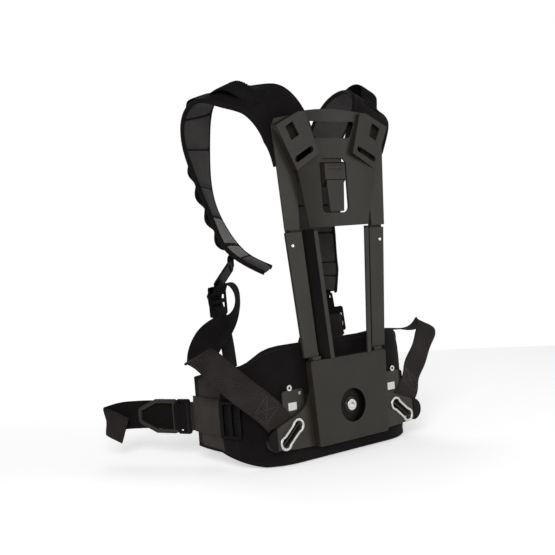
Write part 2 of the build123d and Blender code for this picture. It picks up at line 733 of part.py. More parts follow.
BRACKET_CENTRE = (113.0, 18.0)
BRACKET_SIZE = (45.0, 46.0)
BRACKET_REAR = 21.8
EYELET_CENTRE = (120.0, 45.0)
CLIP_CENTRE = (115.0, 14.0)
bracket_rivets = [(side * x, z) for _, side in SIDES for x, z in ((98, 34), (98, 2), (128, 2))]

with BuildPart() as swivel_plate:
    with BuildSketch(rear(SWIVEL_REAR)) as swivel_outline:
        Rectangle(150, 96)
        with Locations((0, BRACKET_CENTRE[1])):
            Rectangle(2 * (BRACKET_CENTRE[0] - BRACKET_SIZE[0] / 2), 30)
        fillet(swivel_outline.vertices(), 5)
        Circle(BUSH_RADIUS + SWIVEL_CLEARANCE, mode=Mode.SUBTRACT)
    extrude(amount=-SWIVEL_THICKNESS)
finish(swivel_plate, "swivel_plate")

with BuildPart() as bracket_screws:
    with BuildSketch(rear(BRACKET_REAR + 0.3)):
        with Locations(*bracket_rivets):
            Circle(3)
    extrude(amount=-(SWIVEL_FRONT - BRACKET_REAR - 0.3))
finish(bracket_screws, "bracket_rivets")

for name, side in SIDES:
    with BuildPart() as belt_bracket:
        with BuildSketch(rear(BRACKET_REAR)):
            with Locations((side * BRACKET_CENTRE[0], BRACKET_CENTRE[1])):
                RectangleRounded(*BRACKET_SIZE, 4)
            with Locations((side * CLIP_CENTRE[0], CLIP_CENTRE[1])):
                Rectangle(18, 13, mode=Mode.SUBTRACT)
            with Locations((side * EYELET_CENTRE[0], EYELET_CENTRE[1])):
                Circle(5, mode=Mode.SUBTRACT)
            with Locations(*[point for point in bracket_rivets if point[0] * side > 0]):
                Circle(3, mode=Mode.SUBTRACT)
        extrude(amount=-(SWIVEL_FRONT - BRACKET_REAR))
    finish(belt_bracket, f"belt_bracket_{name}")

with BuildPart() as bracket_clips:
    with BuildSketch(rear(BRACKET_REAR + 0.2)):
        with Locations(*[(side * CLIP_CENTRE[0], CLIP_CENTRE[1]) for _, side in SIDES]):
            Rectangle(18, 13)
    extrude(amount=-(SWIVEL_FRONT - BRACKET_REAR - 0.2))
finish(bracket_clips, "bracket_clips")

with BuildPart() as bracket_eyelets:
    with BuildSketch(rear(BRACKET_REAR - 1)):
        with Locations(*[(side * EYELET_CENTRE[0], EYELET_CENTRE[1]) for _, side in SIDES]):
            Circle(5)
            Circle(2.2, mode=Mode.SUBTRACT)
    extrude(amount=-(SWIVEL_FRONT - BRACKET_REAR + 1))
finish(bracket_eyelets, "bracket_eyelets")

# Belt run: out of the sewn sleeve at the wing's end, through the tri-glide, to the ring or hook.
BELT_Z = -3.0
BELT_THICKNESS = 2.4
SLEEVE_THICKNESS = 5.0
SLEEVE_LOW_Z = -29.0
SLEEVE_HEIGHT = 62.0
BELT_RUN = [(191, 199.5), (193.2, 204.2)]
TAIL_RUN = [(191.5, 229, -4), (199, 251, -4), (216, 293, -3), (243, 345, -6), (264, 374, -15)]
GLIDE_CENTRE = (198.7, 219.0, -4.0)
GLIDE_TURN = 20.0
GLIDE_HEIGHT = 61.0
GLIDE_LENGTH = 28.0
GLIDE_THICKNESS = 4.0

for name, side in SIDES:
    with BuildPart() as belt_sleeve:
        with BuildSketch(Plane.XY.offset(SLEEVE_LOW_Z)):
            with BuildLine():
                TangentArc((side * HIP_SIDE_X, HIP_SIDE_Y), (side * HIP_END[0], HIP_END[1]), tangent=(side * 0.046, 1))
                offset(amount=SLEEVE_THICKNESS, side=Side.RIGHT if side > 0 else Side.LEFT)
            make_face()
        extrude(amount=SLEEVE_HEIGHT)
    finish(belt_sleeve, f"belt_sleeve_{name}")

    with BuildPart() as wing_slider:
        with BuildSketch(Plane(origin=(side * 195, 87.7, -1), x_dir=(side * 0.3, 0.954, 0), z_dir=(0.954, -side * 0.3, 0))):
            RectangleRounded(42, 62, 5)
            with Locations((-9, 0), (9, 0)):
                RectangleRounded(10, 52, 2, mode=Mode.SUBTRACT)
        extrude(amount=1.75, both=True)
    finish(wing_slider, f"wing_slider_{name}")

    belt_stations = [((x, y, BELT_Z), (0, 0, 1), WEBBING) for x, y in BELT_RUN]
    belt_webbing = strap(mirrored(belt_stations, side), BELT_THICKNESS)
    finish(belt_webbing, f"belt_webbing_{name}")

    glide_plane = Plane(
        origin=(side * GLIDE_CENTRE[0], GLIDE_CENTRE[1], GLIDE_CENTRE[2]),
        x_dir=(side * 0.342, 0.94, 0),
        z_dir=(0.94, -side * 0.342, 0),
    )
    with BuildPart() as tri_glide:
        with BuildSketch(glide_plane):
            RectangleRounded(GLIDE_LENGTH, GLIDE_HEIGHT, 5)
            with Locations((-5.5, 0), (5.5, 0)):
                RectangleRounded(7, 51, 1.5, mode=Mode.SUBTRACT)
        extrude(amount=GLIDE_THICKNESS / 2, both=True)
    finish(tri_glide, f"tri_glide_{name}")

    tail_stations = [(point, (0, 0, 1), WEBBING) for point in TAIL_RUN]
    belt_tail = strap(mirrored(tail_stations, side), BELT_THICKNESS)
    finish(belt_tail, f"belt_tail_{name}")

RING_START = GLIDE_LENGTH / 2 + 2.0
with BuildPart() as belt_ring:
    ring_plane = Plane(origin=(-GLIDE_CENTRE[0], GLIDE_CENTRE[1], GLIDE_CENTRE[2]), x_dir=(-0.342, 0.94, 0), z_dir=(0.94, 0.342, 0))
    with BuildSketch(ring_plane) as ring_outline:
        with BuildLine():
            Polyline(
                (RING_START, -30), (RING_START + 44, -30), (RING_START + 84, -13),
                (RING_START + 84, 13), (RING_START + 44, 30), (RING_START, 30), close=True,
            )
        make_face()
        fillet(ring_outline.vertices().sort_by(Axis.X)[-2:], 10)
        fillet(ring_outline.vertices().sort_by(Axis.X)[:2], 4)
        offset(amount=-7, kind=Kind.INTERSECTION, mode=Mode.SUBTRACT)
    extrude(amount=2.5, both=True)
finish(belt_ring, "belt_ring")

with BuildPart() as belt_hook:
    hook_plane = Plane(origin=GLIDE_CENTRE, x_dir=(0.342, 0.94, 0), z_dir=(0.94, -0.342, 0))
    with BuildSketch(hook_plane) as hook_outline:
        with BuildLine():
            Polyline(
                (RING_START, -27), (RING_START + 8, -27), (RING_START + 20, -10), (RING_START + 44, -10),
                (RING_START + 44, 12), (RING_START + 26, 12), (RING_START + 26, 5), (RING_START + 36, 5),
                (RING_START + 36, -2), (RING_START + 18, -2), (RING_START + 8, 27), (RING_START, 27), close=True,
            )
        make_face()
        fillet(hook_outline.vertices(), 2)
    extrude(amount=2.5, both=True)
finish(belt_hook, "belt_hook")

# ---------------------------------------------------------------- shoulder strap adjusters and lower webbing

# Each adjuster is a ladder frame below a narrow arm: arm top, bend and lower end, and its width direction.
ADJUSTERS = {
    "left": ((-118, 158, 250), (-151, 158, 216), (-149, 160, 170), (0.9, 0.43, 0)),
    "right": ((74, 134, 182), (76, 132, 155), (78, 130, 116), (0.9, -0.43, 0)),
}
FRAME_WIDTH = 58.0
ARM_WIDTH = 28.0
ADJUSTER_THICKNESS = 3.5

WEBBING_RUNS = {
    "left": [
        [
            ((-164, 23, 11), (-0.70, 0, -0.71)),
            ((-179, 32, 29), (-0.66, 0, -0.75)),
            ((-206, 46, 57), (-0.60, 0, -0.80)),
            ((-250, 72, 110), (-0.92, 0, -0.39)),
        ],
        [
            ((-240, 97, 106), (-0.92, 0.15, -0.35)),
            ((-200, 122, 132), (-0.88, 0.30, 0.30)),
            ((-150, 134, 153), (-0.85, -0.37, 0.36)),
            ((-135, 128, 176), (-0.76, -0.65, 0.05)),
            ((-131, 128, 198), (-0.72, -0.69, 0)),
        ],
    ],
    "right": [
        [
            ((164, 23, 11), (0.70, 0, -0.71)),
            ((179, 32, 29), (0.66, 0, -0.75)),
            ((214, 44, 56), (0.60, 0, -0.80)),
            ((266, 68, 108), (0.92, 0, -0.39)),
        ],
        [
            ((254, 94, 106), (0.80, 0.40, -0.2)),
            ((213, 112, 103), (0.30, 0.95, 0.0)),
            ((160, 131, 99), (0.20, 0.98, 0.0)),
            ((110, 138, 91), (0.75, 0.65, 0.1)),
            ((82, 130, 98), (0.90, -0.43, 0.0)),
        ],
    ],
}
TAILS = {
    "left": [((-138, 164, 162), (-0.9, -0.43, 0)), ((-134, 164, 120), (-0.9, -0.43, 0)), ((-130, 164, 70), (-0.9, -0.43, 0))],
    "right": [((52, 154, 108), (0.9, -0.43, 0)), ((47, 158, 86), (0.9, -0.43, 0)), ((46, 160, 66), (0.9, -0.43, 0))],
}

for name, side in SIDES:
    top, bend, end, across = ADJUSTERS[name]
    with BuildPart() as strap_adjuster:
        for start, stop, width in ((top, bend, ARM_WIDTH), (bend, end, FRAME_WIDTH)):
            along = Vector(*stop) - Vector(*start)
            middle = (Vector(*stop) + Vector(*start)) * 0.5
            way = along.normalized()
            level = Vector(*across)
            level = (level - way * level.dot(way)).normalized()
            with BuildSketch(Plane(origin=middle, x_dir=way, z_dir=way.cross(level))):
                RectangleRounded(along.length + 6, width, 4)
            extrude(amount=ADJUSTER_THICKNESS / 2, both=True)
            with BuildSketch(Plane(origin=middle, x_dir=way, z_dir=way.cross(level))):
                if width == FRAME_WIDTH:
                    with Locations((-6, 0), (9, 0)):
                        RectangleRounded(8, 51, 1.5)
                else:
                    with Locations((-along.length / 2 + 4, 0)):
                        RectangleRounded(5, 20, 1.5)
            extrude(amount=ADJUSTER_THICKNESS, both=True, mode=Mode.SUBTRACT)
    finish(strap_adjuster, f"strap_adjuster_{name}")

    for part_name, run in zip(("lower_webbing", "adjuster_webbing"), WEBBING_RUNS[name]):
        stations = [(centre, width_way, WEBBING) for centre, width_way in run]
        webbing = strap(stations, WEBBING_THICKNESS)
        finish(webbing, f"{part_name}_{name}")

    tail = strap([(centre, width_way, 46) for centre, width_way in TAILS[name]], WEBBING_THICKNESS)
    finish(tail, f"pull_tail_{name}")
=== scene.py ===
"""Looks of the breathing apparatus harness: soft goods, webbing, materials, light and camera.

Everything is in metres in the CAD frame: X right seen from behind, Y forwards, Z up.
"""

import json
import math

import bmesh
import bpy
import numpy as np
from mathutils import Matrix, Vector


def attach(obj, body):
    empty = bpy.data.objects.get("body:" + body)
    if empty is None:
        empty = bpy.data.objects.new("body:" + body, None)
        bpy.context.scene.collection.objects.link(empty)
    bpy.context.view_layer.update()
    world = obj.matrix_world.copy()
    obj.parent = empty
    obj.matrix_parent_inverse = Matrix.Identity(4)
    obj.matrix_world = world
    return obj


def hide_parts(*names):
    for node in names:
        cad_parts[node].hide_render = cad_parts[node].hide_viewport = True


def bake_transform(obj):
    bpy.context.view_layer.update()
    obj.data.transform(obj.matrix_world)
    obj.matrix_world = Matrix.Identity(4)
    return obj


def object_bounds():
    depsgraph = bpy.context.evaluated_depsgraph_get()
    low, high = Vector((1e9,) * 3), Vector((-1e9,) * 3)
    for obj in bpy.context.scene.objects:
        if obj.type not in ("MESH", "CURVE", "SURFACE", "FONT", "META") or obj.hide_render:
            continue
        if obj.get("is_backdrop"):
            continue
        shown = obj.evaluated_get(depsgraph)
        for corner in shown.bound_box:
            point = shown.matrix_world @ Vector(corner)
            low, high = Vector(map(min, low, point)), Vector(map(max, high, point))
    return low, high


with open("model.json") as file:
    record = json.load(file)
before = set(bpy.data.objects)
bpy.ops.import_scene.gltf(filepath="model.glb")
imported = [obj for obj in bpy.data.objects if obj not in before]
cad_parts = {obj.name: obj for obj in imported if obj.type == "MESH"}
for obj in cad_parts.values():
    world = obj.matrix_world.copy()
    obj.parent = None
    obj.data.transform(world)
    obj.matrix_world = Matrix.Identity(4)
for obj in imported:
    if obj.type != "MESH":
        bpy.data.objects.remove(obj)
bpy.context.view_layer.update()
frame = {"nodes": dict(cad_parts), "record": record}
nodes = frame["nodes"]
MM = 0.001
SIDES = (("left", -1), ("right", 1))
UP = (0, 0, 1)

# ---------------------------------------------------------------- materials

TWILL_FOLD = 0.006  # the twill changes direction at this width


def new_material(name):
    """A principled material with its tree, shader and a node maker."""
    material = bpy.data.materials.new(name)
    material.use_nodes = True
    tree = material.node_tree
    shader = tree.nodes["Principled BSDF"]

    def node(kind, **values):
        made = tree.nodes.new(kind)
        for key, value in values.items():
            if key in made.inputs:
                made.inputs[key].default_value = value
            else:
                setattr(made, key, value)
        return made

    return material, tree, shader, node


def ramp(node, stops):
    """Set a colour ramp's stops."""
    elements = node.color_ramp.elements
    while len(elements) > 2:
        elements.remove(elements[-1])
    for index, (place, colour) in enumerate(stops):
        element = elements[index] if index < 2 else elements.new(place)
        element.position = place
        element.color = (*colour, 1)


def shade(colour, factor):
    """A colour made lighter or darker."""
    return tuple(min(1.0, channel * factor) for channel in colour)


def plastic(name, colour, roughness=0.45, grain=1400.0, bump=0.25, scuff=0.25, specular=0.5):
    """Moulded plastic: fine grain, slow colour drift and faint scuffs."""
    material, tree, shader, node = new_material(name)
    links = tree.links
    where = node("ShaderNodeTexCoord")
    drift = node("ShaderNodeTexNoise", Scale=18.0, Detail=4.0)
    links.new(where.outputs["Object"], drift.inputs["Vector"])
    tone = node("ShaderNodeValToRGB")
    ramp(tone, [(0.32, shade(colour, 0.86)), (0.68, shade(colour, 1.12))])
    links.new(drift.outputs["Fac"], tone.inputs["Fac"])
    marks = node("ShaderNodeTexNoise", Scale=70.0, Detail=8.0, Roughness=0.75, Distortion=1.5)
    links.new(where.outputs["Object"], marks.inputs["Vector"])
    band = node("ShaderNodeValToRGB")
    ramp(band, [(0.60, (0, 0, 0)), (0.74, (scuff, scuff, scuff))])
    links.new(marks.outputs["Fac"], band.inputs["Fac"])
    mix = node("ShaderNodeMix", data_type="RGBA")
    links.new(band.outputs["Color"], mix.inputs[0])
    links.new(tone.outputs["Color"], mix.inputs[6])
    mix.inputs[7].default_value = (*shade(colour, 1.5), 1)
    links.new(mix.outputs[2], shader.inputs["Base Color"])
    gloss = node("ShaderNodeMapRange")
    gloss.inputs["To Min"].default_value = roughness - 0.07
    gloss.inputs["To Max"].default_value = roughness + 0.10
    links.new(marks.outputs["Fac"], gloss.inputs["Value"])
    links.new(gloss.outputs["Result"], shader.inputs["Roughness"])
    fine = node("ShaderNodeTexVoronoi", Scale=grain)
    links.new(where.outputs["Object"], fine.inputs["Vector"])
    height = node("ShaderNodeBump", Strength=bump, Distance=0.0002)
    links.new(fine.outputs["Distance"], height.inputs["Height"])
    links.new(height.outputs["Normal"], shader.inputs["Normal"])
    shader.inputs["Specular IOR Level"].default_value = specular
    return material


def metal(name, colour, roughness=0.28, stretch=(40.0, 40.0, 900.0)):
    """Bright brushed metal with streaks and small stains."""
    material, tree, shader, node = new_material(name)
    links = tree.links
    where = node("ShaderNodeTexCoord")
    turn = node("ShaderNodeMapping")
    turn.inputs["Scale"].default_value = stretch
    links.new(where.outputs["Object"], turn.inputs["Vector"])
    streak = node("ShaderNodeTexNoise", Scale=1.0, Detail=6.0, Roughness=0.6)
    links.new(turn.outputs["Vector"], streak.inputs["Vector"])
    tone = node("ShaderNodeValToRGB")
    ramp(tone, [(0.3, shade(colour, 0.82)), (0.7, colour)])
    links.new(streak.outputs["Fac"], tone.inputs["Fac"])
    links.new(tone.outputs["Color"], shader.inputs["Base Color"])
    gloss = node("ShaderNodeMapRange")
    gloss.inputs["To Min"].default_value = roughness - 0.08
    gloss.inputs["To Max"].default_value = roughness + 0.12
    links.new(streak.outputs["Fac"], gloss.inputs["Value"])
    links.new(gloss.outputs["Result"], shader.inputs["Roughness"])
    height = node("ShaderNodeBump", Strength=0.15, Distance=0.0001)
    links.new(streak.outputs["Fac"], height.inputs["Height"])
    links.new(height.outputs["Normal"], shader.inputs["Normal"])
    shader.inputs["Metallic"].default_value = 1.0
    return material


def cloth(name, colour, pitch_u, pitch_v, twill=0.0, depth=0.0003, sheen=0.02, crest_highlight=1.5):
    """Woven cloth on the pieces' own UVs, which are in metres: u across, v along. Its weave's crests get a
    painted highlight.
    """
    material, tree, shader, node = new_material(name)
    links = tree.links
    where = node("ShaderNodeUVMap", uv_map="weave")
    parts = node("ShaderNodeSeparateXYZ")
    links.new(where.outputs["UV"], parts.inputs["Vector"])

    def maths(operation, first, second=None):
        made = node("ShaderNodeMath", operation=operation)
        for index, value in enumerate((first, second)):
            if value is None:
                continue
            if isinstance(value, (int, float)):
                made.inputs[index].default_value = value
            else:
                links.new(value, made.inputs[index])
        return made.outputs[0]

    u, v = parts.outputs["X"], parts.outputs["Y"]
    across = maths("SINE", maths("MULTIPLY", u, 2 * math.pi / pitch_u))
    lean = maths("MULTIPLY", maths("PINGPONG", u, TWILL_FOLD), twill)
    along = maths("SINE", maths("MULTIPLY", maths("ADD", v, lean), 2 * math.pi / pitch_v))
    weave = maths("MULTIPLY", across, along)
    height_value = maths("ADD", maths("MULTIPLY", weave, 0.35), 0.5)
    fuzz = node("ShaderNodeTexNoise", Scale=900.0, Detail=2.0)
    coords = node("ShaderNodeTexCoord")
    links.new(coords.outputs["Object"], fuzz.inputs["Vector"])
    height_value = maths("ADD", height_value, maths("MULTIPLY", fuzz.outputs["Fac"], 0.3))
    height = node("ShaderNodeBump", Strength=0.6, Distance=depth)
    links.new(height_value, height.inputs["Height"])
    links.new(height.outputs["Normal"], shader.inputs["Normal"])
    patch = node("ShaderNodeTexNoise", Scale=22.0, Detail=5.0, Roughness=0.6)
    links.new(coords.outputs["Object"], patch.inputs["Vector"])
    tone = node("ShaderNodeValToRGB")
    ramp(tone, [(0.30, shade(colour, 0.75)), (0.70, shade(colour, 1.25))])
    links.new(patch.outputs["Fac"], tone.inputs["Fac"])
    # Painted highlight: the weave's raised crests are made lighter than its hollows.
    mix = node("ShaderNodeMix", data_type="RGBA")
    links.new(maths("POWER", height_value, 2.5), mix.inputs[0])
    mix.blend_type = "MULTIPLY"
    links.new(tone.outputs["Color"], mix.inputs[6])
    mix.inputs[7].default_value = (crest_highlight, crest_highlight, crest_highlight, 1)
    links.new(mix.outputs[2], shader.inputs["Base Color"])
    shader.inputs["Roughness"].default_value = 0.85
    shader.inputs["Sheen Weight"].default_value = sheen
    shader.inputs["Sheen Roughness"].default_value = 0.5
    shader.inputs["Specular IOR Level"].default_value = 0.05
    return material


MATERIALS = {
    "plate_composite": plastic(
        "plate_composite", (0.0142, 0.0118, 0.0090), roughness=0.44, bump=0.35, specular=0.22,
    ),
    "rail_composite": plastic(
        "rail_composite", (0.0190, 0.0165, 0.0128), roughness=0.48, bump=0.30, specular=0.24,
    ),
    "black_plastic": plastic(
        "black_plastic", (0.0026, 0.0023, 0.0021), roughness=0.34, bump=0.15, specular=0.09,
    ),
    "steel": metal("steel", (0.56, 0.55, 0.53), roughness=0.36),
    "swivel_steel": plastic(
        "swivel_steel", (0.006, 0.0057, 0.0052), roughness=0.34, bump=0.10, specular=0.25,
    ),
    "bush_bronze": metal("bush_bronze", (0.40, 0.29, 0.15), roughness=0.38),
    "pad_fabric": cloth("pad_fabric", (0.0045, 0.0037, 0.0037), 0.0016, 0.0016),
    "webbing": cloth(
        "webbing", (0.0018, 0.0015, 0.0015), 0.0050, 0.0036, twill=0.55, depth=0.0008, crest_highlight=6.0,
    ),
}
PAD_FABRIC = MATERIALS["pad_fabric"]
WEBBING = MATERIALS["webbing"]
LINER = cloth("pad_liner", (0.026, 0.0235, 0.0230), 0.0028, 0.0028, depth=0.0006, sheen=0.08)
# A paler lining, used as a painted highlight on the left shoulder pad.
LINER_HIGHLIGHT = cloth("pad_liner_highlight", (0.120, 0.116, 0.112), 0.0028, 0.0028, depth=0.0006, sheen=0.10)
END_PANEL = cloth("end_panel", (0.026, 0.0225, 0.0205), 0.0020, 0.0020, depth=0.0004)
BINDING = cloth("edge_binding", (0.0050, 0.0044, 0.0042), 0.0022, 0.0014)
THREAD = cloth("thread", (0.0340, 0.0300, 0.0290), 0.0008, 0.0008, depth=0.0001)
PALE_THREAD = cloth("pale_thread", (0.090, 0.082, 0.075), 0.0008, 0.0008, depth=0.0001)
STRAP_GREY = cloth(
    "webbing_grey", (0.0042, 0.0036, 0.0034), 0.0050, 0.0036, twill=0.55, depth=0.0008, crest_highlight=9.0,
)

for part in frame["record"]["subparts"]:
    cad = nodes[part["node"]]
    cad.data.materials.clear()
    cad.data.materials.append(MATERIALS[part["material_slot"]])

# ---------------------------------------------------------------- painted shade on the CAD pieces, in black plastic

REAR_FACE = 0.0003  # deeper than the rear face of a plate
RECESS_SHADE_RADIUS = 0.0287
DIMPLE_DEPTH = 0.0012
DIMPLE_HALF_WIDTH = 0.017
DIMPLE_HEIGHTS = (0.397, 0.409)
THUMB_UNDERSIDE_HEIGHTS = (0.370, 0.384)
RAIL_WEB_OUTER = 0.083


def paint_shade(node_name, chosen):
    """Paint shade on the chosen faces of a CAD piece: give them the black plastic."""
    mesh = nodes[node_name].data
    mesh.materials.append(MATERIALS["black_plastic"])
    for polygon in mesh.polygons:
        if chosen(polygon):
            polygon.material_index = 1


def shades_recess(face):
    """Faces inside the round recess of the pivot, which get painted shade."""
    return face.center.y > REAR_FACE and math.hypot(face.center.x, face.center.z) < RECESS_SHADE_RADIUS


def shades_latch(face):
    """Painted shade on the latch: its grip dimples, and the underside of its thumb block, where shadow
    falls.
    """
    x, y, z = face.center
    dimple = REAR_FACE < y < DIMPLE_DEPTH and abs(x) < DIMPLE_HALF_WIDTH
    dimple = dimple and DIMPLE_HEIGHTS[0] < z < DIMPLE_HEIGHTS[1]
    underside = face.normal.z < -0.5 and THUMB_UNDERSIDE_HEIGHTS[0] < z < THUMB_UNDERSIDE_HEIGHTS[1]
    return dimple or underside


def shaded_rail_web(side):
    """A test for the sloping web of the rail on one side, which gets painted shade."""
    return lambda face: (
        face.normal.x * side > 0.3 and face.normal.y < -0.3 and abs(face.center.x) < RAIL_WEB_OUTER
    )


# Painted shade in black plastic: the pivot's recess, the latch's dimples and thumb block underside, and the
# rails' sloping webs.
paint_shade("lower_plate", shades_recess)
paint_shade("release_latch", shades_latch)
for name, side in SIDES:
    paint_shade(f"rail_sleeve_{name}", shaded_rail_web(side))

# ---------------------------------------------------------------- swept pieces

SEAM_REACH = 0.0035  # how far a seam pulls the padding in
STITCH_LIFT = 0.0002


def natural(knots, values, at):
    """Natural cubic spline through values at knots, read at the places given."""
    values = np.asarray(values, float)
    if values.ndim == 1:
        values = values[:, None]
    count = len(knots)
    gaps = np.diff(knots)
    system = np.eye(count)
    target = np.zeros_like(values)
    for i in range(1, count - 1):
        system[i, i - 1] = gaps[i - 1]
        system[i, i] = 2 * (gaps[i - 1] + gaps[i])
        system[i, i + 1] = gaps[i]
        target[i] = 6 * ((values[i + 1] - values[i]) / gaps[i] - (values[i] - values[i - 1]) / gaps[i - 1])
    second = np.linalg.solve(system, target)
    index = np.clip(np.searchsorted(knots, at) - 1, 0, count - 2)
    gap = gaps[index][:, None]
    after = (at - knots[index])[:, None]
    before = (knots[index + 1] - at)[:, None]
    return (
        second[index] * before**3 / (6 * gap)
        + second[index + 1] * after**3 / (6 * gap)
        + (values[index] / gap - second[index] * gap / 6) * before
        + (values[index + 1] / gap - second[index + 1] * gap / 6) * after
    )


def unit(rows):
    """Rows scaled to length one."""
    return rows / np.maximum(np.linalg.norm(rows, axis=1, keepdims=True), 1e-12)


def run_of(points):
    """Distance run along a row of points."""
    return np.concatenate([[0], np.cumsum(np.linalg.norm(np.diff(points, axis=0), axis=1))])


def blended(at, knots, points):
    """Points read between knots, axis by axis."""
    return np.array([np.interp(at, knots, points[:, axis]) for axis in range(3)])


class Path:
    """Samples along a strap: centre, across, outward normal, width and distance."""

    def __init__(self, centre, across, width, side=1):
        self.centre = centre
        tangent = unit(np.gradient(centre, axis=0))
        across = across - tangent * np.sum(across * tangent, axis=1, keepdims=True)
        self.across = unit(across)
        self.normal = unit(np.cross(self.across, tangent)) * side
        self.width = width
        self.distance = run_of(centre)

    def near(self, distance):
        """Index of the sample nearest to a distance along the strap."""
        return int(np.argmin(np.abs(self.distance - distance)))

    def shifted(self, across=0.0, outward=0.0, side=1):
        """A path beside this one. The shifts are numbers, or arrays with one value a sample."""
        aside = self.across * np.reshape(across, (-1, 1))
        out = self.normal * np.reshape(outward, (-1, 1))
        return Path(self.centre + aside + out, self.across, self.width, side)


def strap_path(stations, side=1, pitch=0.004):
    """Path through stations (centre, across, width) given in millimetres on the right side."""
    flip = np.array([side, 1, 1])
    centre = np.array([s[0] for s in stations], float) * MM * flip
    across = unit(np.array([s[1] for s in stations], float) * flip)
    width = np.array([s[2] for s in stations], float) * MM
    knots = run_of(centre)
    fine = np.linspace(0, knots[-1], 40 * len(stations))
    run = run_of(natural(knots, centre, fine))
    even = np.interp(np.linspace(0, run[-1], max(6, int(run[-1] / pitch) + 1)), run, fine)
    widths = np.interp(even, knots, width)
    return Path(natural(knots, centre, even), natural(knots, across, even), widths, side)


def mesh_object(name, points, faces, uvs, material):
    """A smooth mesh object with a UV map in metres."""
    mesh = bpy.data.meshes.new(name)
    mesh.from_pydata([tuple(p) for p in points], [], faces)
    layer = mesh.uv_layers.new(name="weave")
    loops = np.zeros(len(mesh.loops), int)
    mesh.loops.foreach_get("vertex_index", loops)
    layer.data.foreach_set("uv", np.asarray(uvs, float)[loops].ravel())
    shell = bmesh.new()
    shell.from_mesh(mesh)
    bmesh.ops.recalc_face_normals(shell, faces=shell.faces)
    shell.to_mesh(mesh)
    shell.free()
    mesh.materials.append(material)
    mesh.polygons.foreach_set("use_smooth", [True] * len(mesh.polygons))
    mesh.validate()
    mesh.update()
    made = bpy.data.objects.new(name, mesh)
    bpy.context.scene.collection.objects.link(made)
    return made


def sweep(name, path, section, material, side=1):
    """Closed skin swept along a path. section(i) gives offsets (across, outward) in metres."""
    rings = [section(i) for i in range(len(path.centre))]
    size = len(rings[0])
    points, uvs = [], []
    for i, ring in enumerate(rings):
        for a, n in ring:
            points.append(path.centre[i] + path.across[i] * a + path.normal[i] * n)
            uvs.append((a, path.distance[i]))
    faces = []
    for i in range(len(rings) - 1):
        for j in range(size):
            k = (j + 1) % size
            quad = (i * size + j, i * size + k, (i + 1) * size + k, (i + 1) * size + j)
            faces.append(quad if side > 0 else quad[::-1])
    last = (len(rings) - 1) * size
    start = tuple(range(size))[::-1]
    end = tuple(range(last, last + size))
    faces.append(start if side > 0 else start[::-1])
    faces.append(end if side > 0 else end[::-1])
    made = mesh_object(name, points, faces, uvs, material)
    made["rows"] = size
    return made


def flat_section(path, thickness, curl=0.0, rows=9, wave=None):
    """Section of flat webbing with rolled edges, a little cross curl and an optional wave along it."""

    def section(i):
        half = path.width[i] / 2
        lift = wave(path.distance[i]) if wave else 0.0
        steps = np.linspace(-1, 1, rows)
        rise = thickness / 2 * (1 - np.abs(steps) ** 10 * 0.55)
        bend = curl * (steps**2 - 0.4) + lift
        upper = [(half * s, r + b) for s, r, b in zip(steps, rise, bend)]
        lower = [(half * s, -r + b) for s, r, b in zip(steps[::-1], rise[::-1], bend[::-1])]
        return lower + upper

    return section


def pad_section(
    path, outer, inner, rows=15, power=5.0, outer_seams=(), inner_seams=(), cross_seams=(), ends=0.02,
):
    """Section of a padded form: crowned faces that pull in at seams, cross seams and both ends."""
    total = path.distance[-1]

    def dip(distance):
        return math.exp(-((distance / SEAM_REACH) ** 2))

    def section(i):
        half = path.width[i] / 2
        where = path.distance[i]
        taper = min(1.0, where / ends, (total - where) / ends)
        taper = 0.35 + 0.65 * math.sin(max(0.0, taper) * math.pi / 2)
        pinch = 1.0
        for place, depth in cross_seams:
            pinch -= depth * dip(where - place)
        steps = np.sin(np.linspace(-1, 1, rows) * math.pi / 2 * 0.999)
        crown = (1 - np.abs(steps) ** power) ** 0.5 * (0.86 + 0.14 * np.cos(steps * math.pi / 2))
        upper, lower = [], []
        for s, c in zip(steps, crown):
            top, bottom = outer * c * taper, inner * c * taper * pinch
            for place, depth in outer_seams:
                top -= depth * dip((s - place) * half)
            for place, depth in inner_seams:
                bottom -= depth * dip((s - place) * half)
            upper.append((half * s, top))
            lower.append((half * s, -bottom))
        return lower[::-1][:-1] + upper[:-1]

    return section


def tube_section(radius_across, radius_normal, count=10):
    """Section of an edge binding: an oval tube."""
    angles = np.linspace(0, 2 * math.pi, count, endpoint=False)
    ring = [(radius_across * math.cos(t), radius_normal * math.sin(t)) for t in angles]
    return lambda i: ring


def stitch_line(name, points, normals, pitch=0.0042, length=0.0030, radius=0.00044, material=THREAD):
    """A row of separate stitches lying on a surface."""
    points, normals = np.asarray(points), np.asarray(normals)
    run = run_of(points)
    verts, faces, uvs = [], [], []
    for place in np.arange(pitch, run[-1] - pitch, pitch):
        start, end = (blended(place + offset, run, points) for offset in (-length / 2, length / 2))
        up = blended(place, run, normals)
        up = up / max(np.linalg.norm(up), 1e-9)
        beside = np.cross(end - start, up)
        beside = beside / max(np.linalg.norm(beside), 1e-9)
        base = len(verts)
        middle = (start + end) / 2
        verts += [start, end, middle + beside * radius, middle + up * radius * 1.3]
        verts += [middle - beside * radius, middle - up * radius]
        faces += [(base, base + 2 + k, base + 2 + (k + 1) % 4) for k in range(4)]
        faces += [(base + 1, base + 2 + (k + 1) % 4, base + 2 + k) for k in range(4)]
        uvs += [(0, place)] * 6
    return mesh_object(name, verts, faces, uvs, material)


def tack_line(name, points, normals, material=THREAD):
    """A row of shorter, closer stitches."""
    return stitch_line(name, points, normals, pitch=0.0026, length=0.0021, material=material)


def row_line(path, section, row):
    """Points and normals of one row of a swept skin."""
    points, normals = [], []
    for i in range(len(path.centre)):
        a, n = section(i)[row]
        sign = 1 if n >= 0 else -1
        points.append(path.centre[i] + path.across[i] * a + path.normal[i] * (n + sign * STITCH_LIFT))
        normals.append(path.normal[i] * sign)
    return points, normals


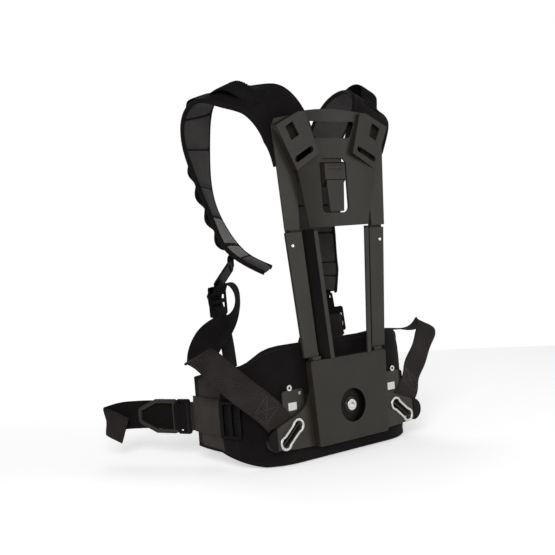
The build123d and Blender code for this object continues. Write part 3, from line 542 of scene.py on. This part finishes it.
def cross_line(path, section, place, upper):
    """Points and normals across a swept skin at one distance, on its outer or inner face."""
    i = path.near(place)
    ring = section(i)
    half = len(ring) // 2
    chosen = ring[half + 1 : -1] if upper else ring[1 : half - 1]
    sign = 1 if upper else -1
    points = [
        path.centre[i] + path.across[i] * a + path.normal[i] * (n + sign * STITCH_LIFT) for a, n in chosen
    ]
    return points, [path.normal[i] * sign] * len(points)


def band_line(path, place, half_width, lift, count):
    """Points and normals straight across a strap at one distance, above or below its middle."""
    i = path.near(place)
    points = [
        path.centre[i] + path.across[i] * a + path.normal[i] * lift
        for a in np.linspace(-half_width, half_width, count)
    ]
    return points, [path.normal[i] * np.sign(lift)] * count


def box_stitch(name, path, place, length, half_width, lift, material=THREAD):
    """A sewn box with a cross in it, on one face of a strap."""

    def spot(along, across):
        i = path.near(along)
        centre = blended(along, path.distance, path.centre)
        return centre + path.across[i] * across + path.normal[i] * lift, path.normal[i] * np.sign(lift)

    near, far = place, place + length
    corners = [(near, -half_width), (far, -half_width), (far, half_width), (near, half_width)]
    lines = [(corners[k], corners[(k + 1) % 4]) for k in range(4)]
    lines += [(corners[0], corners[2]), (corners[1], corners[3])]
    made = []
    for number, (first, second) in enumerate(lines):
        steps = zip(np.linspace(first[0], second[0], 8), np.linspace(first[1], second[1], 8))
        points, normals = zip(*(spot(along, across) for along, across in steps))
        made.append(stitch_line(f"{name}_{number}", points, normals, 0.0030, 0.0023, material=material))
    return made


def settle(objects, body):
    """Ride pieces on a body."""
    for piece in objects:
        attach(piece, body)


# ---------------------------------------------------------------- shoulder pads

# Stations of each pad from the head plate, over the shoulder, to its free end:
# centre, direction across and width, in millimetres on the right side.
SHOULDER = {
    "left": [
        ((70, 27, 408), (0.95, 0.05, -0.28), 74),
        ((75.4, 27.2, 463), (0.88, 0.15, -0.42), 92),
        ((106, 43, 516.5), (0.85, 0.14, -0.50), 86),
        ((124, 97, 534), (0.90, -0.02, -0.44), 74),
        ((132, 147, 545), (0.94, -0.12, -0.33), 72),
        ((132, 195, 527), (0.96, -0.16, -0.24), 72),
        ((127, 218, 473), (0.96, -0.28, -0.04), 72),
        ((125, 216, 424), (0.87, -0.48, 0.06), 72),
        ((121, 206, 373), (0.77, -0.63, 0.07), 72),
        ((110, 190, 318), (0.78, -0.62, 0.05), 72),
        ((99, 169, 278), (0.88, -0.47, 0.08), 66),
        ((64, 122, 238), (0.80, -0.50, -0.20), 42),
    ],
    "right": [
        ((80, 27, 408), (0.95, 0.05, -0.28), 80),
        ((104, 28, 455), (0.93, 0.10, -0.35), 98),
        ((135, 42, 508), (0.90, 0.05, -0.40), 92),
        ((152, 85, 532), (0.90, -0.02, -0.44), 76),
        ((158, 125, 534), (0.94, -0.12, -0.33), 72),
        ((156, 165, 508), (0.96, -0.16, -0.24), 72),
        ((148, 190, 465), (0.96, -0.28, -0.04), 72),
        ((138, 202, 420), (0.87, -0.48, 0.06), 72),
        ((127, 202, 368), (0.77, -0.63, 0.07), 72),
        ((111, 188, 290), (0.78, -0.62, 0.05), 72),
        ((99, 169, 228), (0.88, -0.47, 0.08), 66),
        ((74, 132, 191), (0.80, -0.50, -0.20), 42),
    ],
}
CREST = {
    "left": [
        ((107, 45, 517.5), (0.85, 0.14, -0.50)),
        ((112.7, 62, 522.7), (0.87, 0.08, -0.48)),
        ((118, 79, 528), (0.89, 0.02, -0.46)),
        ((124, 97, 534), (0.90, -0.02, -0.44)),
        ((128.3, 117, 538.6), (0.92, -0.07, -0.38)),
        ((130.4, 137, 543), (0.93, -0.10, -0.35)),
    ],
    "right": [
        ((135, 42, 508), (0.90, 0.05, -0.40)),
        ((143, 60, 519), (0.90, 0.02, -0.42)),
        ((148, 74, 526), (0.90, 0.00, -0.43)),
        ((152, 90, 532), (0.91, -0.03, -0.43)),
        ((156, 108, 534), (0.92, -0.08, -0.38)),
        ((158, 125, 534), (0.94, -0.12, -0.33)),
    ],
}
# Heights of the crest loops above the pads' middle, in millimetres at even steps.
CREST_LIFTS = {"left": [6.8, 7.0, 14, 19.5, 16, 6.8], "right": [6.8, 8.5, 22, 26, 20, 6.8]}
CREST_WIDTH = 38
CREST_THICKNESS = 0.0026
CREST_RIB_HEIGHT = 0.0007
CREST_RIB_PITCH = 0.0055
SHOULDER_PITCH = 0.0035
PAD_OUTER = 0.0052
PAD_INNER = 0.0058
PAD_SEAM_PLACES = (0.298, 0.358, 0.428, 0.486, 0.543, 0.576)
CROSS_SEAMS = [(place, 0.6) for place in PAD_SEAM_PLACES]
SEAM_HALF_WIDTH = 0.0018
LINER_START = 0.16
LINER_HIGHLIGHT_STRETCH = (0.486, 0.576)  # the stretch of the left pad's lining painted paler, as a painted highlight
CHAIN_STRETCH = (0.255, 0.545)
CHAIN_LOOP = 0.044
CHAIN_WIDTH = 0.040
CHAIN_BASE = 0.0070  # from the pad's middle to the chain
CHAIN_THICKNESS = 0.0018
CHAIN_HEIGHT = 0.0085


def colour_shoulder(pad, path, side):
    """Line the wearer's side of the pad, with a painted highlight on a stretch of the left pad's lining, and
    a dark line along each cross seam.
    """
    for material in (LINER, LINER_HIGHLIGHT, BINDING):
        pad.data.materials.append(material)
    size = pad["rows"]
    for polygon in pad.data.polygons:
        row, column = divmod(polygon.index, size)
        if row == len(path.centre) - 1 or column >= size // 2 or path.distance[row] <= LINER_START:
            continue
        place = path.distance[row]
        # A painted highlight: a stretch of the left pad's lining gets the paler liner.
        pale = side < 0 and 2 <= column < size // 2 - 2 and LINER_HIGHLIGHT_STRETCH[0] < place < LINER_HIGHLIGHT_STRETCH[1]
        polygon.material_index = 2 if pale else 1
        if any(abs(place + SEAM_HALF_WIDTH - seam) < SEAM_HALF_WIDTH for seam in PAD_SEAM_PLACES):
            polygon.material_index = 3


def shoulder_pad(name, side):
    """One padded shoulder strap with its binding and stitches. Returns its path."""
    path = strap_path(SHOULDER[name], side, SHOULDER_PITCH)
    section = pad_section(
        path, PAD_OUTER, PAD_INNER, outer_seams=((-0.80, 0.0009), (0.80, 0.0009)),
        inner_seams=((-0.74, 0.0012), (0.74, 0.0012)), cross_seams=CROSS_SEAMS,
    )
    pad = sweep(f"shoulder_pad_body_{name}", path, section, PAD_FABRIC, side)
    colour_shoulder(pad, path, side)
    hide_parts(f"shoulder_pad_{name}")
    settle([pad], "upper_frame")

    trims = []
    for label, sign in (("outer", 1), ("inner", -1)):
        edge = path.shifted(across=(path.width / 2 - 0.0012) * sign, side=side)
        tube = tube_section(0.0030, 0.0042)
        trims.append(sweep(f"shoulder_binding_{label}_{name}", edge, tube, BINDING, side))
    size = pad["rows"]
    for row in (2, size // 2 - 2, size // 2 + 2, size - 2):
        trims.append(stitch_line(f"shoulder_stitches_{row}_{name}", *row_line(path, section, row)))
    for number, place in enumerate(PAD_SEAM_PLACES):
        trims.append(tack_line(f"shoulder_tack_{number}_{name}", *cross_line(path, section, place, False)))
    settle(trims, "upper_frame")
    return path


def crest_loop(name, side):
    """The raised webbing loop on top of a shoulder pad."""
    base = strap_path([(*station, CREST_WIDTH) for station in CREST[name]], side, 0.0012)
    share = base.distance / base.distance[-1]
    lift = natural(np.linspace(0, 1, len(CREST_LIFTS[name])), CREST_LIFTS[name], share)[:, 0] * MM
    path = base.shifted(outward=lift, side=side)
    section = flat_section(
        path, CREST_THICKNESS, wave=lambda d: CREST_RIB_HEIGHT * math.sin(d * 2 * math.pi / CREST_RIB_PITCH),
    )
    loop = sweep(f"crest_loop_webbing_{name}", path, section, WEBBING, side)
    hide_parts(f"crest_loop_{name}")
    settle([loop], "upper_frame")


def daisy_chain(name, side, pad_path):
    """The row of webbing loops down the outer face of a pad, tacked between the loops."""
    stretch = slice(pad_path.near(CHAIN_STRETCH[0]), pad_path.near(CHAIN_STRETCH[1]))
    base = pad_path.centre[stretch] + pad_path.normal[stretch] * CHAIN_BASE
    path = Path(base, pad_path.across[stretch], np.full(len(base), CHAIN_WIDTH), side)
    section = flat_section(
        path, CHAIN_THICKNESS,
        wave=lambda d: CHAIN_HEIGHT * abs(math.sin(d * math.pi / CHAIN_LOOP)) ** 1.3,
    )
    chain = sweep(f"daisy_chain_{name}", path, section, WEBBING, side)
    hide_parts(f"pad_webbing_{name}")
    settle([chain], "upper_frame")
    tacks = []
    for number in range(1, int(path.distance[-1] / CHAIN_LOOP) + 1):
        points, normals = band_line(path, number * CHAIN_LOOP, 0.018, 0.0012, 8)
        tacks.append(stitch_line(f"daisy_tack_{number}_{name}", points, normals, 0.0022, 0.0020, 0.0005))
    settle(tacks, "upper_frame")


for name, side in SIDES:
    shoulder_path = shoulder_pad(name, side)
    crest_loop(name, side)
    daisy_chain(name, side, shoulder_path)

# ---------------------------------------------------------------- hip pad

# Plan of the pad's outer face, in millimetres: a flat back, a round corner and a wing.
HIP_BACK_Y = 24.0
HIP_BACK_HALF = 104
HIP_CORNER_RADIUS = 92.1
WING_START = (196, 112)
WING_LENGTH = 86
# Heights of the pad's edges in millimetres against the depth Y.
HIP_TOP_Y = [24, 27, 33, 40, 50, 58, 68, 80, 125, 170, 200]
HIP_TOP_Z = [114, 113.6, 111.5, 107, 97.5, 91, 86, 83, 76, 69, 63.5]
HIP_BOTTOM_Y = [24, 44, 60, 92, 124, 200]
HIP_BOTTOM_Z = [-81, -80.5, -76, -66, -57, -55.3]
HIP_MIDDLE_DEPTH = 8.2
# In metres from here on.
HIP_OUTER = 0.0082
HIP_INNER = 0.0078
END_PANEL_STRETCH = (0.014, 0.086)
NUT_POCKET = (0.019, 0.028)  # radii of the pocket's floor and rim
NUT_POCKET_FLOOR = -0.0015
NUT_POCKET_RISE = 0.0097


def wing_x(gone):
    """X of the wing's outer face at a depth beyond the wing's start."""
    return WING_START[0] + 0.0446 * gone - 0.001465 * gone**2


def hip_outline(side):
    """Points along the outer face of the pad in plan, from the centre to the wing's end."""
    points = [(x, HIP_BACK_Y) for x in np.linspace(0, HIP_BACK_HALF, 26)]
    corner_y = HIP_BACK_Y + HIP_CORNER_RADIUS
    for angle in np.radians(np.linspace(-90, -2.55, 36))[1:]:
        x = HIP_BACK_HALF + HIP_CORNER_RADIUS * math.cos(angle)
        points.append((x, corner_y + HIP_CORNER_RADIUS * math.sin(angle)))
    for gone in np.linspace(0, WING_LENGTH, 24)[1:]:
        points.append((wing_x(gone), WING_START[1] + gone))
    return np.array([(side * x, y) for x, y in points])


def hip_centre_path():
    """The pad's middle surface from the left wing's end to the right one."""
    outline = np.concatenate([hip_outline(-1)[::-1], hip_outline(1)[1:]])
    plan = np.column_stack([outline, np.zeros(len(outline))])
    run = run_of(plan)
    even = np.linspace(0, run[-1], int(run[-1] / 4.5))
    plan = blended(even, run, plan).T
    tangent = unit(np.gradient(plan, axis=0))
    outward = np.column_stack([tangent[:, 1], -tangent[:, 0], np.zeros(len(plan))])
    top = np.interp(plan[:, 1], HIP_TOP_Y, HIP_TOP_Z)
    bottom = np.interp(plan[:, 1], HIP_BOTTOM_Y, HIP_BOTTOM_Z)
    middle = plan - outward * HIP_MIDDLE_DEPTH
    middle[:, 2] = (top + bottom) / 2
    upright = np.tile(np.array(UP, float), (len(plan), 1))
    path = Path(middle * MM, upright, (top - bottom) * MM, 1)
    # The edges rise and fall, but the section stays upright and square to the plan.
    path.across = upright
    path.normal = outward
    path.distance = even * MM
    return path


hip_path = hip_centre_path()
hip_length = hip_path.distance[-1]
HIP_SEAM_PLACES = [hip_length / 2 + s * d for s in (-1, 1) for d in (0.052, 0.150, 0.225)]
hip_section_plain = pad_section(
    hip_path, HIP_OUTER, HIP_INNER, rows=31, power=9.0,
    cross_seams=[(place, 0.55) for place in HIP_SEAM_PLACES],
    inner_seams=((-0.45, 0.0015), (0.45, 0.0015)), ends=0.012,
)


def hip_section(i):
    """The pad's section, with a pocket in its outer face for the pivot nut."""
    x, _, middle_z = hip_path.centre[i]
    floor, rim = NUT_POCKET
    made = []
    for a, n in hip_section_plain(i):
        distance = math.hypot(x, middle_z + a)
        if n > 0 and distance < rim:
            n = min(n, NUT_POCKET_FLOOR + NUT_POCKET_RISE * max(0.0, (distance - floor) / (rim - floor)))
        made.append((a, n))
    return made


def hip_pad():
    """The hip pad's body, lined on the wearer's side, with a plainer panel at each end."""
    hip = sweep("hip_pad_body", hip_path, hip_section, PAD_FABRIC, 1)
    hip.data.materials.append(LINER)
    hip.data.materials.append(END_PANEL)
    size = hip["rows"]
    for polygon in hip.data.polygons:
        row, column = divmod(polygon.index, size)
        if row == len(hip_path.centre) - 1:
            continue
        near_end = min(hip_path.distance[row], hip_length - hip_path.distance[row])
        if column < size // 2:
            polygon.material_index = 1
        elif END_PANEL_STRETCH[0] < near_end < END_PANEL_STRETCH[1]:
            polygon.material_index = 2
    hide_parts("hip_pad")
    settle([hip], "hip_swivel")
    return size


def hip_trims(size):
    """Edge bindings and stitches of the hip pad."""
    trims = []
    for label, sign in (("top", 1), ("bottom", -1)):
        edge = hip_path.shifted(across=(hip_path.width / 2 - 0.0015) * sign)
        trims.append(sweep(f"hip_binding_{label}", edge, tube_section(0.0034, 0.0062), BINDING, 1))
    for index, label in ((0, "left"), (-1, "right")):
        base, half = hip_path.centre[index], hip_path.width[index] / 2
        heights = np.linspace(-half + 0.001, half - 0.001, 16)
        line = np.array([base + np.array([0, -0.001, height]) for height in heights])
        end_path = Path(line, np.tile(hip_path.normal[index], (16, 1)), np.full(16, 0.01), 1)
        trims.append(sweep(f"hip_end_binding_{label}", end_path, tube_section(0.0062, 0.0034), BINDING, 1))
    for row in (3, size // 2 - 3, size // 2 + 3, size - 3):
        trims.append(stitch_line(f"hip_stitches_{row}", *row_line(hip_path, hip_section_plain, row)))
    for number, place in enumerate(HIP_SEAM_PLACES):
        trims.append(stitch_line(f"hip_seam_{number}", *cross_line(hip_path, hip_section, place, False)))
    for number, place in enumerate((0.012, 0.118, hip_length - 0.118, hip_length - 0.012)):
        points, normals = cross_line(hip_path, hip_section_plain, place, True)
        trims.append(stitch_line(f"hip_upright_{number}", points, normals))
    settle(trims, "hip_swivel")


hip_trims(hip_pad())

# ---------------------------------------------------------------- belt sleeves and belt

BELT_THICKNESS = 0.0022
SLEEVE_WIDTH = 0.062
SLEEVE_CLEARANCE = 2.6
# Stations of the belt in millimetres on the right side: centre and width.
BELT_RUN = [
    ((189.5, 192, -3), 48), ((190.5, 198, -3), 49), ((192.5, 204, -3.5), 50), ((195, 210, -4), 50),
    ((198, 217.5, -4), 50),
]
BELT_TAIL = [
    ((190.5, 214, -4), 50), ((193, 231, -4), 50), ((201, 254, -4), 50), ((216, 290, -3), 50),
    ((232, 326, -4), 50), ((249, 355, -7), 50), ((262, 370, -12), 50),
]
BELT_HEM = [
    ((262, 370, -12), 50), ((264.5, 372.6, -12.6), 50), ((267.2, 372.2, -13.4), 50),
    ((267.6, 368.6, -14.6), 50), ((261, 350, -22), 50), ((253, 332, -30), 50),
]
BELT_ANCHOR = [
    ((198.7, 213, -4), 46), ((202.8, 228, -4), 46), ((207.3, 238, -4), 46), ((205.3, 240, -4), 46),
]


def belt_sleeve(name, side):
    """The sewn sleeve that holds the belt on the wing's outer face."""
    y = np.linspace(WING_START[1], WING_START[1] + WING_LENGTH, 30)
    x = wing_x(y - WING_START[1]) + SLEEVE_CLEARANCE
    centre = np.column_stack([side * x, y, np.full(30, 2.0)]) * MM
    path = Path(centre, np.tile(np.array(UP, float), (30, 1)), np.full(30, SLEEVE_WIDTH), -side)
    section = pad_section(
        path, 0.0024, 0.0022, rows=13, power=12.0, outer_seams=((-0.84, 0.0006), (0.84, 0.0006)), ends=0.006,
    )
    sleeve = sweep(f"belt_sleeve_body_{name}", path, section, END_PANEL, -side)
    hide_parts(f"belt_sleeve_{name}")
    settle([sleeve], "hip_swivel")
    size = sleeve["rows"]
    lines = []
    for row in (size // 2 + 2, size - 2):
        lines.append(stitch_line(f"sleeve_stitches_{row}_{name}", *row_line(path, section, row)))
    for number, place in enumerate((0.004, 0.0775)):
        lines.append(tack_line(f"sleeve_tack_{number}_{name}", *cross_line(path, section, place, True)))
    settle(lines, "hip_swivel")


def belt_path(stations, side, pitch=0.004):
    """Path of upright webbing."""
    return strap_path([(centre, UP, width) for centre, width in stations], side, pitch)


def belt(name, side):
    """The belt from its sleeve: the short run, the tail with its hem, and the anchor loop."""
    path = belt_path(BELT_RUN, side)
    finish = STRAP_GREY if side < 0 else WEBBING
    run = sweep(f"belt_run_{name}", path, flat_section(path, BELT_THICKNESS, 0.0006), finish, side)
    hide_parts(f"belt_webbing_{name}")
    tail_path = belt_path(BELT_TAIL, side)
    tail_section = flat_section(tail_path, BELT_THICKNESS, 0.0010)
    tail = sweep(f"belt_tail_run_{name}", tail_path, tail_section, WEBBING, side)
    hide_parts(f"belt_tail_{name}")
    hem_path = belt_path(BELT_HEM, side, 0.003)
    hem = sweep(f"belt_tail_hem_{name}", hem_path, flat_section(hem_path, 0.0020, 0.0004), STRAP_GREY, side)
    loop_path = belt_path(BELT_ANCHOR, side, 0.002)
    loop = sweep(f"belt_anchor_{name}", loop_path, flat_section(loop_path, 0.0014), WEBBING, side)
    settle([run, tail, hem, loop], "hip_swivel")
    settle(box_stitch(f"belt_box_{name}", path, 0.006, 0.014, 0.019, -0.0016), "hip_swivel")


for name, side in SIDES:
    belt_sleeve(name, side)
for name, side in SIDES:
    belt(name, side)

# ---------------------------------------------------------------- lower webbing and shoulder adjusters

# Stations in millimetres on the right side: centre, direction across and width.
# Both lower straps leave their eyes the same way.
LOWER_START = [
    ((126, 21.0, -30), (0.755, 0, -0.656), 48), ((137, 20.6, -19), (0.735, 0, -0.68), 49),
    ((150, 20.7, -5), (0.71, 0, -0.70), 50), ((163, 22.2, 11), (0.70, 0, -0.71), 50),
    ((179, 32, 29), (0.66, 0, -0.75), 50),
]
LOWER = {
    "left": [
        *LOWER_START,
        ((206, 46, 57), (0.60, 0, -0.80), 50), ((232, 60, 87), (0.75, 0, -0.62), 50),
        ((249, 72, 108), (0.92, 0, -0.39), 50), ((251, 84, 112), (0.93, 0.08, -0.36), 50),
        ((240, 97, 110), (0.92, 0.15, -0.33), 50), ((200, 122, 132), (0.88, 0.30, 0.30), 50),
        ((150, 134, 153), (0.85, -0.37, 0.36), 50), ((135, 128, 176), (0.76, -0.65, 0.05), 50),
        ((131, 128, 198), (0.72, -0.69, 0), 50), ((134, 131, 214), (0.75, -0.65, 0), 49),
        ((141, 141, 222), (0.80, -0.58, 0), 48), ((148, 151, 214), (0.88, -0.47, 0), 48),
        ((149.5, 155, 203), (0.9, -0.43, 0), 48),
    ],
    "right": [
        *LOWER_START,
        ((214, 44, 56), (0.60, 0, -0.80), 50), ((244, 56, 85), (0.75, 0, -0.62), 50),
        ((266, 68, 106), (0.92, 0, -0.39), 50), ((270, 81, 112), (0.92, 0.1, -0.37), 50),
        ((254, 94, 106), (0.80, 0.40, -0.2), 50), ((213, 112, 104), (0.35, 0.93, 0.0), 50),
        ((160, 131, 100), (0.25, 0.97, 0.0), 50), ((110, 138, 93), (0.75, 0.60, 0.1), 50),
        ((82, 131, 99), (0.90, -0.36, 0.0), 49), ((76, 128, 122), (0.90, -0.43, 0.0), 48),
        ((75, 128, 142), (0.90, -0.43, 0.0), 48),
    ],
}
PULLS = {
    "left": [
        ((149.5, 155.5, 203), (0.9, -0.43, 0), 48), ((151, 159, 207), (0.9, -0.43, 0), 48),
        ((151, 163, 203), (0.9, -0.43, 0), 48), ((150, 165, 186), (0.9, -0.43, 0), 48),
        ((141, 166, 160), (0.9, -0.43, 0), 47), ((134, 164, 120), (0.9, -0.43, 0), 46),
        ((130, 164, 72), (0.9, -0.43, 0), 46),
    ],
    "right": [
        ((75, 128, 141), (0.9, -0.43, 0), 48), ((76, 132, 145.5), (0.9, -0.43, 0), 48),
        ((77, 136, 141), (0.9, -0.43, 0), 48), ((72, 141, 126), (0.9, -0.43, 0), 47),
        ((56, 151, 112), (0.9, -0.43, 0), 46), ((47, 158, 88), (0.9, -0.43, 0), 46),
        ((46, 160, 67), (0.9, -0.43, 0), 46),
    ],
}
TABS = {
    "left": [
        ((103, 166, 276), (0.86, -0.49, 0.0), 22), ((110, 165.5, 262), (0.88, -0.46, 0), 22),
        ((117, 160, 251), (0.9, -0.43, 0), 21), ((121, 159.5, 243), (0.9, -0.43, 0), 20),
    ],
    "right": [
        ((80, 141, 201), (0.84, -0.5, 0), 30), ((76, 138, 190), (0.88, -0.46, 0), 26),
        ((74, 136.5, 180), (0.9, -0.43, 0), 21), ((74.5, 136, 172), (0.9, -0.43, 0), 20),
    ],
}
STRAP_THICKNESS = 0.0019
STRAP_SHADE_Y = 0.086  # beyond this the left strap gets the darker webbing as painted shade
EYE_BOX = 0.050  # distance of the sewn box from the eye


def lower_strap(name, side):
    """The strap from the frame's eye to the shoulder adjuster."""
    path = strap_path(LOWER[name], side, 0.0045)
    strap = sweep(f"lower_strap_{name}", path, flat_section(path, STRAP_THICKNESS, 0.0005), STRAP_GREY, side)
    # Painted shade: the left strap's rear part gets the darker webbing.
    strap.data.materials.append(WEBBING)
    for polygon in strap.data.polygons:
        row = polygon.index // strap["rows"]
        if side < 0 and row < len(path.centre) - 1 and path.centre[row][1] > STRAP_SHADE_Y:
            polygon.material_index = 1
    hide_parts(f"lower_webbing_{name}", f"adjuster_webbing_{name}")
    start, end = (side * 0.20, 0.05, 0.05), (side * 0.15, 0.15, 0.165)
    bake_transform(strap)
    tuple(start)
    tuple(end)
    for label, lift in (("lower_box", 0.00115), ("lower_box_back", -0.00115)):
        box = box_stitch(f"{label}_{name}", path, EYE_BOX, 0.026, 0.020, lift, PALE_THREAD)
        settle(box, "lower_frame")


def pull_tail(name, side):
    """The loose end of the shoulder webbing, with a hem sewn on both faces."""
    path = strap_path(PULLS[name], side, 0.0025)
    pull = sweep(f"pull_strap_{name}", path, flat_section(path, STRAP_THICKNESS, 0.0006), STRAP_GREY, side)
    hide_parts(f"pull_tail_{name}")
    settle([pull], "upper_frame")
    hem = []
    for face, lift in (("front", 0.0012), ("rear", -0.0012)):
        for offset in (6, 20):
            points, normals = band_line(path, path.distance[-1] - offset * MM, 0.020, lift, 10)
            hem.append(tack_line(f"pull_hem_{offset}_{face}_{name}", points, normals))
    settle(hem, "upper_frame")


def adjuster_tab(name, side):
    """The short webbing between the pad's end and its adjuster."""
    path = strap_path(TABS[name], side, 0.002)
    tab = sweep(f"adjuster_tab_{name}", path, flat_section(path, 0.0018), WEBBING, side)
    settle([tab], "upper_frame")


for name, side in SIDES:
    lower_strap(name, side)
    pull_tail(name, side)
    adjuster_tab(name, side)

# ---------------------------------------------------------------- floor, light, camera

FLOOR_RADIUS = 1.5
FLOOR_SIDES = 96
CAMERA_PLACE = (-1.1493, -1.2430, 0.2727)
CAMERA_RIGHT = (0.773, -0.629, -0.080)
CAMERA_FORWARD = (0.629, 0.777, -0.028)
SENSOR_WIDTH = 36
FOCAL_LENGTH = 64.865


def area_light(name, place, target, size, power):
    """A soft square studio light aimed at a point."""
    lamp = bpy.data.lights.new(name, "AREA")
    lamp.shape = "SQUARE"
    lamp.size = size
    lamp.energy = power
    made = bpy.data.objects.new(name, lamp)
    made.location = place
    made.rotation_euler = (Vector(target) - Vector(place)).to_track_quat("-Z", "Y").to_euler()
    bpy.context.scene.collection.objects.link(made)


def studio_floor():
    """A pale round floor just below the object."""
    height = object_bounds()[0][2] - 0.001
    turns = np.linspace(0, 2 * math.pi, FLOOR_SIDES, endpoint=False)
    mesh = bpy.data.meshes.new("studio_floor")
    rim = [(FLOOR_RADIUS * math.cos(t), FLOOR_RADIUS * math.sin(t), height) for t in turns]
    mesh.from_pydata(rim, [], [tuple(range(FLOOR_SIDES))])
    floor = bpy.data.objects.new("studio_floor", mesh)
    bpy.context.scene.collection.objects.link(floor)
    material, _, shader, _ = new_material("studio_floor")
    shader.inputs["Base Color"].default_value = (0.93, 0.93, 0.93, 1)
    shader.inputs["Roughness"].default_value = 0.9
    shader.inputs["Emission Color"].default_value = (1, 1, 1, 1)
    shader.inputs["Emission Strength"].default_value = 0.36
    mesh.materials.append(material)
    floor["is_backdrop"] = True


def studio_world():
    """White as seen by the camera, and a dimmer white as light."""
    world = bpy.data.worlds.new("studio")
    world.use_nodes = True
    tree = world.node_tree
    ambient = tree.nodes["Background"]
    ambient.inputs["Color"].default_value = (1, 1, 1, 1)
    ambient.inputs["Strength"].default_value = 0.20
    backdrop = tree.nodes.new("ShaderNodeBackground")
    backdrop.inputs["Color"].default_value = (1, 1, 1, 1)
    backdrop.inputs["Strength"].default_value = 1.0
    ray = tree.nodes.new("ShaderNodeLightPath")
    mix = tree.nodes.new("ShaderNodeMixShader")
    tree.links.new(ray.outputs["Is Camera Ray"], mix.inputs[0])
    tree.links.new(ambient.outputs[0], mix.inputs[1])
    tree.links.new(backdrop.outputs[0], mix.inputs[2])
    tree.links.new(mix.outputs[0], tree.nodes["World Output"].inputs["Surface"])
    bpy.context.scene.world = world


def studio_camera():
    """The camera, behind the object and to its left."""
    lens = bpy.data.cameras.new("camera")
    lens.sensor_width = SENSOR_WIDTH
    lens.lens = FOCAL_LENGTH
    camera = bpy.data.objects.new("camera", lens)
    forward = Vector(CAMERA_FORWARD).normalized()
    above = Vector(CAMERA_RIGHT).normalized().cross(forward).normalized()
    right = forward.cross(above).normalized()
    x, y, z = CAMERA_PLACE
    camera.matrix_world = Matrix((
        (right.x, above.x, -forward.x, x),
        (right.y, above.y, -forward.y, y),
        (right.z, above.z, -forward.z, z),
        (0, 0, 0, 1),
    ))
    bpy.context.scene.collection.objects.link(camera)
    bpy.context.scene.camera = camera
    bpy.context.scene.view_settings.view_transform = "Standard"


studio_floor()
studio_world()
area_light("key_light", (-2.0, -2.0, 1.2), (0, 0.1, 0.2), 1.4, 78)
area_light("fill_light", (1.4, -2.2, 0.7), (0, 0.1, 0.2), 1.4, 26)
area_light("front_light", (0.8, 2.4, 1.2), (0, 0.1, 0.3), 1.6, 24)
studio_camera()
